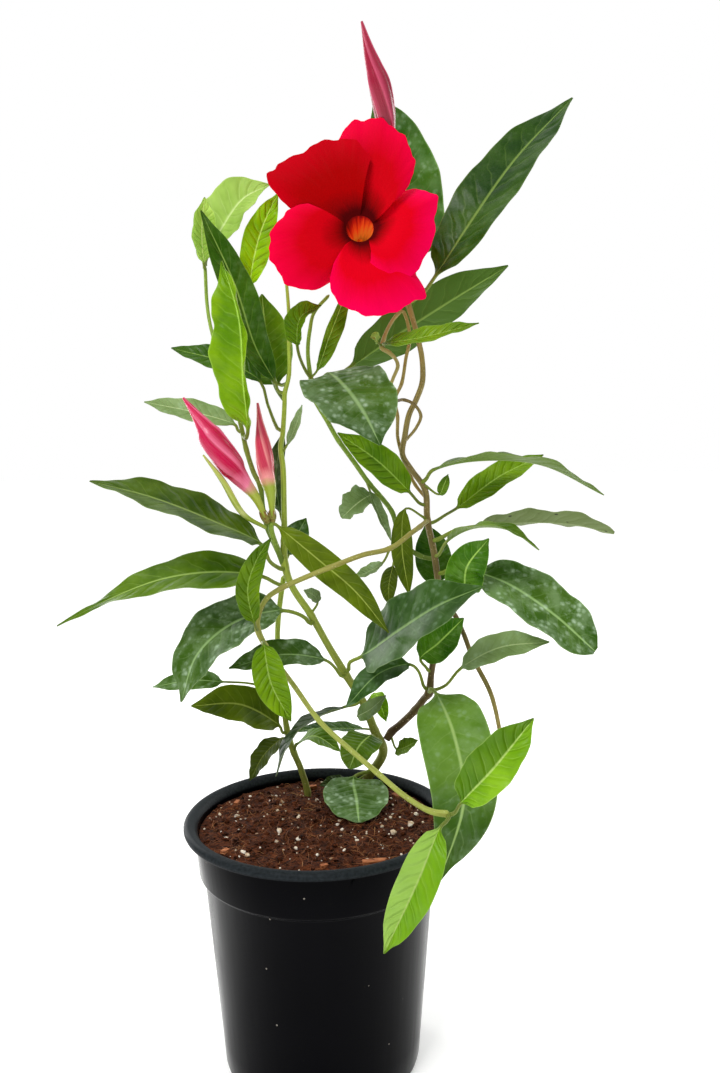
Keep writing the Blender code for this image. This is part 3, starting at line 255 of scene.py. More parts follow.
edge = inner_radius(SOIL_HEIGHT) - WALL_GAP
rings = [(r, SOIL_HEIGHT) for r in np.linspace(0, edge, 64)]
soil = turned(rings + [
    (inner_radius(low) - WALL_GAP, low), (inner_radius(low - 2) - WALL_GAP, low - 2),
    (inner_radius(POT_FLOOR) - 2.6, POT_FLOOR + WALL_GAP), (0, POT_FLOOR + WALL_GAP),
], 180)
for vert in soil.verts:
    if vert.co.z > (SOIL_HEIGHT - 0.1) * MM:
        vert.co.z = soil_top(vert.co.x / MM, vert.co.y / MM) * MM
piece("coco_peat", soil, [soil_brown], ["potting_mix"], sharp=80)

# Crumbs and clumps of the same peat lie loose on it, pressed in to half their height.
rng = random.Random(41)


def scattered(reach, rng):
    """A random place on the mix, clear of the wall."""
    angle, radius = rng.uniform(0, 2 * pi), reach * rng.random() ** 0.5
    return radius * cos(angle), radius * sin(angle)


def lump(body, place, size, flat, rng, faces=1):
    """One rough grain, pushed out of round."""
    made = bmesh.ops.create_icosphere(body, subdivisions=faces, radius=size * MM)
    seed = Vector((rng.random(), rng.random(), rng.random())) * 20
    turn = Matrix.Rotation(rng.uniform(0, pi), 3, "Z") @ Matrix.Rotation(rng.uniform(0, 1), 3, "X")
    shape = Vector((1.0, rng.uniform(0.6, 1.0), flat))
    for vert in made["verts"]:
        swell = 1 + 0.45 * noise.noise(vert.co / (size * MM) * 1.3 + seed)
        vert.co = turn @ (vert.co * shape * swell) + Vector(place) * MM


crumbs = bmesh.new()
for k in range(CRUMBS):
    x, y = scattered(SCATTER, rng)
    size = rng.choice((0.4, 0.5, 0.6, 0.8, 1.1, 1.5))
    lump(crumbs, (x, y, soil_top(x, y) + size * 0.25), size, rng.uniform(0.5, 0.9), rng)
piece("peat_crumbs", crumbs, [soil_brown], sharp=60)

# Fibres of coconut husk: stiff rust and straw-coloured hairs, up to 11 mm long, that lie
# across the mix or stick up a little.
fibre_rust, tree, shader = finish("rusty_coir_fibre", specular_ior_level=0.3)
spot = add(tree, "TexCoord", out=3)
shade = add(tree, "TexNoise", {"Vector": spot, "Scale": 1000 / 6, "Detail": 2})
tone = add(tree, "ValToRGB", {0: shade}, stops=[(0.35, "#4A2412"),
                                                (0.55, "#85502C"),
                                                (0.75, "#B88A5A")])
feed(tree, shader, base_color=tone, roughness=add(
    tree, "MapRange", {"Value": shade}, span=(0, 1, 0.6, 0.95)))


def wrapped(body, around, along, place):
    """Roll a grid into a closed skin: place(turn, share) gives a point in mm, turn 0 to 1."""
    if not body.loops.layers.uv:
        body.loops.layers.uv.new("skin")
    made = bmesh.ops.create_grid(body, x_segments=around, y_segments=along, size=0.5,
                                 calc_uvs=True)
    columns = sorted({round(vert.co.x, 6) for vert in made["verts"]})
    rows = sorted({round(vert.co.y, 6) for vert in made["verts"]})
    for vert in made["verts"]:
        turn = columns.index(round(vert.co.x, 6)) / (len(columns) - 1)
        share = rows.index(round(vert.co.y, 6)) / (len(rows) - 1)
        vert.co = Vector(place(turn, share)) * MM
    bmesh.ops.remove_doubles(body, verts=made["verts"], dist=0.002 * MM)
    whole = [vert for vert in made["verts"] if vert.is_valid]
    open_ends = {edge for vert in whole for edge in vert.link_edges if edge.is_boundary}
    bmesh.ops.holes_fill(body, edges=list(open_ends), sides=0)


fibres = bmesh.new()
for k in range(FIBRES):
    x, y = scattered(SCATTER - 1, rng)
    length, thick = rng.uniform(3.5, 11.0), rng.uniform(0.07, 0.16)
    heading, bend = rng.uniform(0, 2 * pi), rng.uniform(-1.2, 1.2)
    lift = rng.uniform(0.2, 1.6)

    def along_fibre(turn, share):
        """A bent hair that thins toward its tip."""
        way = heading + bend * share
        px = x + length * share * cos(way)
        py = y + length * share * sin(way)
        reach = (px * px + py * py) ** 0.5
        if reach > SCATTER:
            px, py = px * SCATTER / reach, py * SCATTER / reach
        size = thick * (1 - 0.6 * share)
        rise = soil_top(px, py) + 0.15 + lift * sin(pi * share)
        aside = size * cos(2 * pi * turn)
        return px - sin(way) * aside, py + cos(way) * aside, rise + size * sin(2 * pi * turn)

    wrapped(fibres, 4, 7, along_fibre)
piece("coir_fibres", fibres, [fibre_rust], sharp=80)

# Perlite: puffed volcanic glass in cream-white grains of up to 4 mm, dusted brown, most
# of them half buried.
perlite_cream, tree, shader = finish("dusty_cream_perlite", specular_ior_level=0.3)
spot = add(tree, "TexCoord", out=3)
dirt = add(tree, "TexNoise", {"Vector": spot, "Scale": 1000 / 2.5, "Detail": 4})
pits = add(tree, "TexVoronoi", {"Vector": spot, "Scale": 1000 / 0.6})
tone = add(tree, "ValToRGB", {0: dirt}, stops=[(0.32, "#8A6248"), (0.48, "#D8C2A4"),
                                               (0.62, "#F3EBDD")])
relief = add(tree, "Bump", {"Strength": 0.5, "Distance": 0.2 * MM, "Height": pits})
feed(tree, shader, base_color=tone, normal=relief, roughness=add(
    tree, "MapRange", {"Value": dirt}, span=(0, 1, 0.7, 1.0)))
grains = bmesh.new()
for k in range(GRAINS):
    x, y = scattered(SCATTER - 0.5, rng)
    size = rng.choice((0.3, 0.4, 0.45, 0.55, 0.6, 0.8, 1.0))
    lump(grains, (x, y, soil_top(x, y) + size * 0.35), size, 0.8, rng)
for x, y, size in ((-17, -11, 1.7), (-30, -32, 1.2), (-28, -35, 1.3), (33, -14, 1.6),
                   (41, -6, 1.9), (-8, -20, 1.1), (12, -32, 1.0), (44, 6, 1.3), (-38, 6, 1.2)):
    lump(grains, (x, y, soil_top(x, y) + size * 0.3), size, 0.75, rng, 2)
piece("perlite_grains", grains, [perlite_cream], sharp=70)

# Chips of pine bark, split flat, tan to pink-brown.
bark_tan, tree, shader = finish("split_pine_bark", specular_ior_level=0.25)
spot = add(tree, "TexCoord", out=3)
grain = add(tree, "Mapping", {"Vector": spot, "Scale": (1, 7, 7)})
grain = add(tree, "TexNoise", {"Vector": grain, "Scale": 1000 / 5, "Detail": 5})
tone = add(tree, "ValToRGB", {0: grain}, stops=[(0.3, "#5E2E18"), (0.55, "#A9653C"),
                                                (0.75, "#C98F63")])
relief = add(tree, "Bump", {"Strength": 0.6, "Distance": 0.4 * MM, "Height": grain})
feed(tree, shader, base_color=tone, normal=relief, roughness=add(
    tree, "MapRange", {"Value": grain}, span=(0, 1, 0.65, 0.95)))
chips = bmesh.new()
for x, y, long, wide, turn in (
        (24, -41, 9.0, 2.6, 8), (-38, -30, 3.6, 2.2, 60), (-5, 40, 4, 2, 20),
        (36, 30, 5, 2.4, 120), (-40, 22, 4.2, 1.8, 80), (4, -46, 3, 1.6, 30)):
    made = bmesh.ops.create_cube(chips, size=MM)
    edges = list({edge for vert in made["verts"] for edge in vert.link_edges})
    bmesh.ops.subdivide_edges(chips, edges=edges, cuts=3, use_grid_fill=True)
    chip = [vert for vert in chips.verts if vert.co.length < 0.9 * MM]
    for vert in chip:
        way = vert.co / MM
        rag = 1 + 0.30 * noise.noise(way * 2.1 + Vector((x, y, 0)))
        vert.co = Matrix.Rotation(radians(turn), 3, "Z") @ Vector(
            (way.x * long * rag, way.y * wide * rag, way.z * 1.3 * rag)) * MM
        vert.co += Vector((x, y, soil_top(x, y) + 0.5)) * MM
piece("bark_chips", chips, [bark_tan], sharp=40)

# The vine's stems: a woody brown foot, then olive-green young wood, all thinner than a
# pencil, swollen at each joint where leaves sit, and twining round one another.
STEM_SIDES = 14
RING_SPACING = 1.1
JOINT_SWELL = 0.13              # share of the radius that a joint adds
JOINT_LENGTH = 1.6
ROUTE_STEPS = 12


def unit(vector):
    """The same direction, one unit long."""
    return vector / np.linalg.norm(vector)


def smooth_route(points, per_span):
    """Points of a centripetal Catmull-Rom curve through the given points."""
    points = [np.array(p, float) for p in points]
    padded = [2 * points[0] - points[1], *points, 2 * points[-1] - points[-2]]
    route = []
    for before, start, end, after in zip(padded, padded[1:], padded[2:], padded[3:]):
        t1 = max(np.linalg.norm(start - before), 1e-6) ** 0.5
        t2 = t1 + max(np.linalg.norm(end - start), 1e-6) ** 0.5
        t3 = t2 + max(np.linalg.norm(after - end), 1e-6) ** 0.5
        for step in range(per_span):
            t = t1 + (t2 - t1) * step / per_span
            a1 = before + (start - before) * t / t1
            a2 = start + (end - start) * (t - t1) / (t2 - t1)
            a3 = end + (after - end) * (t - t2) / (t3 - t2)
            b1 = a1 + (a2 - a1) * t / t2
            b2 = a2 + (a3 - a2) * (t - t1) / (t3 - t1)
            route.append(b1 + (b2 - b1) * (t - t1) / (t2 - t1))
    route.append(points[-1])
    return np.array(route)


def at_shares(route, shares):
    """Points at given shares of a route's length."""
    steps = np.linalg.norm(np.diff(route, axis=0), axis=1)
    run = np.concatenate([[0], np.cumsum(steps)])
    return np.stack([np.interp(shares, run / run[-1], route[:, k]) for k in range(3)], -1)


def directions(points):
    """Unit directions along a route, one at each of its points."""
    ways = np.gradient(points, axis=0)
    ways[0] = points[1] - points[0]
    ways[-1] = points[-1] - points[-2]
    return np.array([unit(way) for way in ways])


def carried_frames(points, middle, face):
    """Directions along a route and square to it, carried from its middle without twist."""
    along = directions(points)
    up = np.zeros_like(points)
    face = np.array(face, float)
    up[middle] = unit(face - along[middle] * (face @ along[middle]))
    for order in (range(middle + 1, len(points)), range(middle - 1, -1, -1)):
        last = middle
        for spot in order:
            up[spot] = unit(up[last] - along[spot] * (up[last] @ along[spot]))
            last = spot
    return along, np.cross(along, up), up


def stem_finish(name, young, old, streak, scar):
    """Bark that is old at a stem's foot and young at its tip: fine lengthwise streaks,
    pale pores and a soft sheen."""
    material, tree, shader = finish(name, specular_ior_level=0.25)
    skin = add(tree, "UVMap", uv_map="skin")
    spot = add(tree, "TexCoord", out=3)
    share = add(tree, "SeparateXYZ", {0: skin}, out=1)
    grain = add(tree, "Mapping", {"Vector": skin, "Scale": (9, 14, 1)})
    grain = add(tree, "TexNoise", {"Vector": grain, "Scale": 1.6, "Detail": 5, "Distortion": 0.4})
    patch = add(tree, "TexNoise", {"Vector": spot, "Scale": 1000 / 7, "Detail": 3})
    pores = add(tree, "TexVoronoi", {"Vector": spot, "Scale": 1000 / 1.6})
    pores = add(tree, "MapRange", {"Value": pores}, span=(0.12, 0.24, 0.55, 0.0))
    age = add(tree, "Math", {0: patch, 1: 0.5, 2: share}, operation="MULTIPLY_ADD")
    age = add(tree, "MapRange", {"Value": age}, span=(0.25, 1.0))
    tone = add(tree, "Mix", {0: age, 6: old, 7: young}, **BLEND)
    line = add(tree, "MapRange", {"Value": grain}, span=(0.5, 0.7, 0.0, 0.7))
    tone = add(tree, "Mix", {0: line, 6: tone, 7: streak}, **BLEND)
    tone = add(tree, "Mix", {0: pores, 6: tone, 7: scar}, **BLEND)
    rough = add(tree, "MapRange", {"Value": grain}, span=(0.3, 0.7, 0.42, 0.68))
    relief = add(tree, "Bump", {"Strength": 0.5, "Distance": 0.25 * MM, "Height": grain})
    feed(tree, shader, base_color=tone, roughness=rough, normal=relief)
    return material


# Woody foot and main stems: brown bark below, olive above
bark_olive = stem_finish("olive_brown_bark", "#A0B440", "#7E7E3A", "#66702C", "#B7B078")
# Young green shoots, with fine darker streaks
shoot_green = stem_finish("young_green_shoot", "#8AA63C", "#6A8232", "#54682A", "#B9C48A")
# Old twining wood, nearly black-brown in its lower turns and tan above
wood_brown = stem_finish("twining_brown_wood", "#9A8A4E", "#4E3B25", "#3E3020", "#C2AE84")
# Thin straw-tan vine, and a greener one for the long runner
vine_tan = stem_finish("straw_tan_vine", "#A79A5A", "#A0884E", "#7C6234", "#D3C093")
vine_olive = stem_finish("olive_runner_vine", "#9CA64A", "#948A46", "#76702E", "#C8C890")

STEMS = {}


def stem(name, material, node, points):
    """One stem: a tube through (x, y, z, radius) points with swollen, ringed joints."""
    STEMS[name] = points
    route = smooth_route([p[:3] for p in points], ROUTE_STEPS)
    radii = np.interp(np.linspace(0, 1, len(route)), np.linspace(0, 1, len(points)),
                      [p[3] for p in points])
    steps = np.linalg.norm(np.diff(route, axis=0), axis=1)
    length = float(steps.sum())
    count = max(24, int(length / RING_SPACING))
    shares = np.linspace(0, 1, count + 1)
    places = at_shares(route, shares)
    run = np.concatenate([[0], np.cumsum(steps)]) / length
    sizes = np.interp(shares, run, radii)
    joints = [run[np.linalg.norm(route - np.array(p[:3]), axis=1).argmin()]
              for p in points[1:-1] if p[3] > 0.95 * np.mean([q[3] for q in points])]
    for joint in joints[::2]:
        near = np.exp(-((shares - joint) * length / JOINT_LENGTH) ** 2)
        sizes = sizes * (1 + JOINT_SWELL * near)
    rooted = points[0][2] < SOIL_HEIGHT
    along, side, up = carried_frames(places, 0, (0.3, -1, 0.2) if rooted else (0, -1, 0.4))

    def on_bark(turn, share):
        """Round the bark, which is a little three-sided, up to a small closed tip."""
        spot = round(share * count)
        angle = 2 * pi * turn
        size = sizes[spot] * (1 + 0.035 * sin(3 * angle + share * length / 5))
        if spot == count:
            size *= 0.35
        return places[spot] + size * (cos(angle) * side[spot] + sin(angle) * up[spot])

    body = bmesh.new()
    wrapped(body, STEM_SIDES, count, on_bark)
    return piece(name, body, [material], [node], sharp=70)


# The trunk leans across from the back of the pot, then climbs as the left branch.
stem("trunk", bark_olive, "left_stem", [
    (21, 38, 94.5, 2.3), (21, 38, 110, 2.3),
    (30, 30, 130, 2.2), (26, 27, 141, 2),
    (21, 20, 156, 1.9), (13, 12, 172, 1.8),
    (6, 8, 185, 1.6), (-2, 5, 201, 1.6),
    (-10, 3, 214, 1.5), (-13, 2, 224, 1.7),
    (-13, 2, 243, 1.3), (-13, 3, 266, 1.2),
    (-14, 4, 276, 1.2), (-13, 5, 282, 1.1),
    (-12, 6, 296, 1), (-12, 6, 299, 1.1),
    (-10, 9, 308, 0.9), (-10, 12, 323, 0.9),
    (-10, 14, 336, 0.8), (-11, 16, 352, 0.7)])
# A shoot twists off it to the left, and two thin ones climb beside it.
stem("twisting_shoot", shoot_green, "left_stem", [
    (-14, 2, 226, 1.3), (-20, 1, 240, 1.1),
    (-22, 0, 250, 1.1), (-23, 1, 259, 1.1),
    (-26, 3, 265, 1.1), (-29, 4, 275, 1.1),
    (-31, 4, 285, 1), (-35, 6, 299, 0.8),
    (-39, 8, 312, 0.8), (-44, 14, 326, 0.8),
    (-47, 20, 340, 0.8), (-48, 23, 358, 0.8)])
stem("bud_stalk", shoot_green, "left_stem", [
    (-14, 2, 225, 1.3), (-16, -2, 232, 1.2),
    (-18, -5, 240, 1.2), (-18, -6, 244, 1.3)])
stem("thin_shoot", shoot_green, "left_stem", [
    (-12, 6, 296, 0.8), (-16, 12, 302, 0.8),
    (-23, 20, 322, 0.8), (-28, 20, 336, 0.8),
    (-29, 20, 343, 0.8)])
# The right branch climbs to the bloom, with the top bud's stalk and a vine at its side.
stem("right_branch", wood_brown, "right_stem", [
    (31.7, 28.5, 136.3, 1.8), (34, 28, 140, 1.9),
    (38, 26, 144, 1.8), (45, 22, 152, 1.8),
    (49, 17, 159, 1.7), (51, 13, 163, 1.9),
    (52, 14, 171, 1.5), (54, 15, 182, 1.5),
    (56, 16, 196, 1.5), (56, 15, 210, 1.5),
    (54, 14, 226, 1.5), (51, 15, 242, 1.5),
    (50, 15, 256, 1.4), (44, 15, 265, 1.3),
    (40, 15, 272, 1.3), (41, 14, 280, 1.3),
    (43, 13, 290, 1.3), (46, 13, 296, 1.3),
    (49, 13, 304, 1.3), (49, 13, 314, 1.2),
    (47, 13, 324, 1.2), (45, 14, 332, 1.2),
    (43, 15, 339, 1.4), (40, 24, 351, 1.2),
    (36, 36, 352, 1.2), (28, 42, 355, 1.2),
    (22, 36.9, 358.2, 1.2)])
stem("side_vine", wood_brown, "right_stem", [
    (56, 16, 201, 1.2), (62, 12, 200, 1.1),
    (66, 8, 192, 1.1), (70, 6, 181, 1.1),
    (77, 2, 167, 1.1), (79, -1, 160, 1),
    (81, -8, 147, 0.9)])
stem("top_bud_stalk", shoot_green, "right_stem", [
    (38, 28, 351, 1.1), (39, 31, 370, 1),
    (37, 30, 388, 1)])
# Two thin vines twine round the right branch.
stem("twining_tan", vine_tan, "twining_vines", [
    (50.6, 15.6, 252, 0.8), (46, 20, 258, 0.8),
    (43, 20, 264, 0.8), (40, 20, 272, 0.8),
    (38, 19, 280, 0.8), (38, 17, 289, 0.8),
    (37, 16, 297, 0.8), (40, 17, 304, 0.8),
    (42, 18, 315, 0.8), (44, 19, 325, 0.8),
    (41, 19, 336, 0.8), (38, 16, 334, 0.8),
    (34, 13, 328, 0.8), (32, 11, 323, 0.9),
    (31, 10, 319, 1), (34, 9, 317, 0.9),
    (37, 9, 314, 0.8), (38, 9, 311, 0.8),
    (36, 9, 306, 0.8), (34, 9, 301, 0.8)])
stem("twining_loop", wood_brown, "twining_vines", [
    (37, 16, 296, 0.7), (41, 9, 296, 0.7),
    (45, 8, 294, 0.7), (48, 9, 289, 0.7),
    (46, 10, 284, 0.7), (42, 18, 279, 0.7),
    (39, 20, 276, 0.7)])
# The centre stem crosses behind the leaves.
stem("centre_stem", shoot_green, "centre_stem", [
    (54, 17, 224, 1.1), (47, 17, 226, 1.1),
    (39, 17, 233, 1.1), (35, 16, 246, 1.1),
    (30, 16, 253, 1.2), (25, 16, 259, 1.1),
    (18, 16, 269, 1.1), (11, 17, 279, 1.1),
    (6, 18, 288, 1.1), (0, 18, 299, 1.1),
    (-1, 18, 307, 1.1), (-2, 18, 319, 0.9),
    (-1, 18, 328, 0.9), (1, 19, 336, 0.8),
    (8, 20, 344, 0.8)])
# A runner arches out over the rim and carries the two lime leaves at its end.
stem("runner", vine_olive, "runner", [
    (50.7, 12.5, 242, 1.1), (47, 6, 240, 1.1),
    (43, 0, 238, 1.1), (33, -9, 232, 1.1),
    (21, -15, 230, 1.1), (7, -17, 225, 1.1),
    (-6, -18, 220, 1.1), (-13, -19, 217, 1.1),
    (-19, -20, 213, 1.1), (-23, -20, 205, 1.1),
    (-23, -20, 199, 1.4), (-18, -19, 189, 1.1),
    (-9, -22, 177, 1.1), (2, -28, 163, 1.1),
    (13, -34, 154, 1.1), (26, -42, 145, 1.1),
    (37, -50, 138, 1.1), (46, -57, 135, 1.1),
    (53, -60, 135, 1.5)])
# A thin stem rises from the mix at the left.
stem("basal_stem", bark_olive, "basal_stem", [
    (-7, 31, 94.5, 1.6), (-7, 31, 110, 1.6),
    (-10, 30, 122, 1.5), (-13, 29, 130, 1.5),
    (-15, 28, 137, 1.6), (-16, 27, 143, 1.4),
    (-17, 22, 158, 1.3), (-18, 16, 176, 1.3),
    (-18, 12, 191, 1.2), (-16, 7, 207, 1.2),
    (-14, 6, 219, 1.2)])

# Leaves: thin, slightly fleshy blades on short stalks, each with a sunk midrib above
# and a raised one below, side veins that arch forward, and a rippled margin.

# Each outline is a blade's half width along its length: (share of length, share of width)
OVAL = ((0, .10), (.03, .30), (.09, .58), (.18, .82), (.30, .97), (.42, 1.0),
        (.54, .97), (.66, .86), (.77, .68), (.86, .45), (.93, .22), (1, .03))
BROAD = ((0, .10), (.03, .40), (.09, .72), (.18, .93), (.30, 1.0), (.42, 1.0),
         (.54, .95), (.66, .84), (.77, .65), (.86, .42), (.93, .19), (1, .03))
LONG = ((0, .10), (.03, .26), (.09, .50), (.18, .74), (.30, .93), (.42, 1.0),
        (.54, .98), (.66, .87), (.77, .69), (.86, .46), (.93, .24), (1, .04))
DRIP = ((0, .10), (.03, .40), (.09, .74), (.18, .96), (.30, 1.0), (.42, .88),
        (.54, .70), (.66, .46), (.77, .24), (.86, .12), (.93, .07), (1, .03))
ROUND = ((0, .12), (.03, .42), (.09, .70), (.18, .90), (.30, 1.0), (.46, 1.0),
         (.60, .93), (.74, .78), (.86, .58), (.94, .36), (1, .10))
BLUNT = ((0, .10), (.03, .30), (.09, .58), (.18, .82), (.30, .96), (.42, 1.0),
         (.54, 1.0), (.66, .97), (.77, .90), (.86, .78), (.93, .58), (1, .16))
ACROSS = 14                     # faces across one side of a blade
AROUND = 2 * ACROSS + 2         # and once round it, with both edges
STALK_ROWS = 8
BLADE_ROWS = 44
STALK_PART = STALK_ROWS / (STALK_ROWS + BLADE_ROWS)
LEAF_STEPS = 16
JOINT_REACH = 0.75              # how far a stalk's foot stands out from the bark
ELBOW = 1.8                     # and how far it goes before it turns to its leaf
RIB_SPACING = 6.5               # between side veins
WAVES = 3.1                     # waves along a margin
FAR_WAVE = 1.9                  # how far the two margins' waves are out of step
BLADE_HALF = 0.16               # half the blade's thickness at the midrib
EDGE_THINNING = 0.05            # and how much of it is gone at the margin
GROOVE_WIDTH = 0.8
GROOVE_DEPTH = 0.28


def foot_on_stem(near, toward):
    """Middle of the nearest stem, where a stalk leaves its bark, and where it turns."""
    best = None
    for points in STEMS.values():
        route = smooth_route([p[:3] for p in points], ROUTE_STEPS)
        shares = np.linspace(0, 1, len(points))
        radii = np.interp(np.linspace(0, 1, len(route)), shares, [p[3] for p in points])
        distance = np.linalg.norm(route - near, axis=1)
        spot = int(distance.argmin())
        if best is None or distance[spot] < best[0]:
            at_end = spot == len(route) - 1
            best = (distance[spot], route[spot], directions(route)[spot], radii[spot], at_end)
    _, axis, along, radius, at_end = best
    away = toward - axis
    if at_end and unit(away) @ along > 0.5:
        out, radius = along, 0.0
    else:
        out = unit(away - along * (away @ along))
    foot = axis + out * (radius + JOINT_REACH)
    elbow = foot + unit(0.5 * out + unit(toward - foot)) * ELBOW
    return axis, foot, elbow


def leaf(name, material, stalk, blade, width, face, fold, wave, phase, outline=OVAL,
         quilt=0.0, lit=1.0, on=None):
    """One leaf as a closed skin: round stalk, then a thin blade folded along its midrib.
    Small leaves say which stem they sit on, and large ones find it."""
    stalk = [np.array(p, float) for p in stalk]
    blade = [np.array(p, float) for p in blade]
    if not on:
        toward = stalk[1] if len(stalk) > 1 else blade[0]
        axis, foot, elbow = foot_on_stem(stalk[0], toward)
        rest = [p for p in stalk[1:] if np.linalg.norm(p - foot) > 4]
        stalk = [foot, elbow, *rest]
        if np.linalg.norm(blade[0] - elbow) < 2:
            stalk = [foot]
    fine = 2 if quilt else 1
    stalk_rows, blade_rows = STALK_ROWS * fine, BLADE_ROWS * fine
    route = smooth_route(stalk + blade, LEAF_STEPS)
    end = len(stalk) * LEAF_STEPS
    lower = route[:end + 1]
    if not on:
        lower = np.vstack([axis + (foot - axis) * 0.3, lower])
    upper = at_shares(route[end:], np.linspace(0, 1, blade_rows + 1))
    points = np.vstack([at_shares(lower, np.linspace(0, 1, stalk_rows + 1))[:-1], upper])
    along, side, up = carried_frames(points, stalk_rows + blade_rows // 2, face)
    curve = smooth_route([(s, w, 0) for s, w in outline], 8)
    shares = np.linspace(0, 1, blade_rows + 1)
    halves = np.interp(shares, curve[:, 0], curve[:, 1]) * width / 2
    girth = 0.82 if width > 20 else 0.68 if width > 11 else 0.5
    length = float(np.linalg.norm(np.diff(upper, axis=0), axis=1).sum())
    ribs = max(5, round(length / RIB_SPACING))

    def on_leaf(turn, share):
        """Across the top of the blade, round its margin and back below."""
        row = round(share * (stalk_rows + blade_rows))
        column = round(turn * AROUND) % AROUND
        topside = column <= ACROSS
        u = -1 + 2 * column / ACROSS if topside else 1 - 2 * (column - ACROSS - 1) / ACROSS
        centre, s, n = points[row], side[row], up[row]
        angle = pi / 2 - u * 0.9 * pi / 2 if topside else -pi / 2 + u * 0.9 * pi / 2
        swell = 1 + 0.25 * exp(-(row / stalk_rows * 3) ** 2)
        ring = centre + girth * swell * (cos(angle) * s + sin(angle) * n)
        if row < stalk_rows:
            return ring
        part = (row - stalk_rows) / blade_rows
        half = max(halves[row - stalk_rows], 0.25)
        reach = abs(u)
        bend = radians(fold) * min(1, part / 0.1)
        fade = min(1, part / 0.15) * min(1, (1 - part) / 0.15)
        rise = reach * half * sin(bend) * reach ** 0.25
        swing = 2 * pi * (WAVES * part + phase) + (0 if u < 0 else FAR_WAVE)
        rise += wave * sin(swing) * reach ** 2 * fade
        rise += 0.22 * wave * sin(2.7 * swing + 1) * reach ** 4 * fade
        if quilt:
            vein = 2 * pi * (ribs * part - 1.1 * reach)
            puff = quilt * (abs(cos(vein / 2)) - 0.5)
            rise += puff * min(1, reach * 4) * (1 - reach ** 3) * fade
        groove = exp(-(u * half / GROOVE_WIDTH) ** 2)
        thick = BLADE_HALF - EDGE_THINNING * reach
        if topside:
            rise += thick - GROOVE_DEPTH * groove * fade
        else:
            rise -= thick + (0.75 * girth * (1 - part) ** 0.7 + 0.06) * groove
        place = centre + s * u * half * cos(bend) + n * rise
        ease = min(1, part / 0.07)
        return ring * (1 - ease) + place * ease

    body = bmesh.new()
    wrapped(body, AROUND, stalk_rows + blade_rows, on_leaf)
    item = piece(name, body, [material], [on or name], sharp=62)
    # The leaf's "lit" scale goes on its points: partly its own tone, partly painted light and
    # shade.
    bright = item.data.attributes.new("lit", "FLOAT", "POINT")
    bright.data.foreach_set("value", [lit] * len(item.data.vertices))
    return item


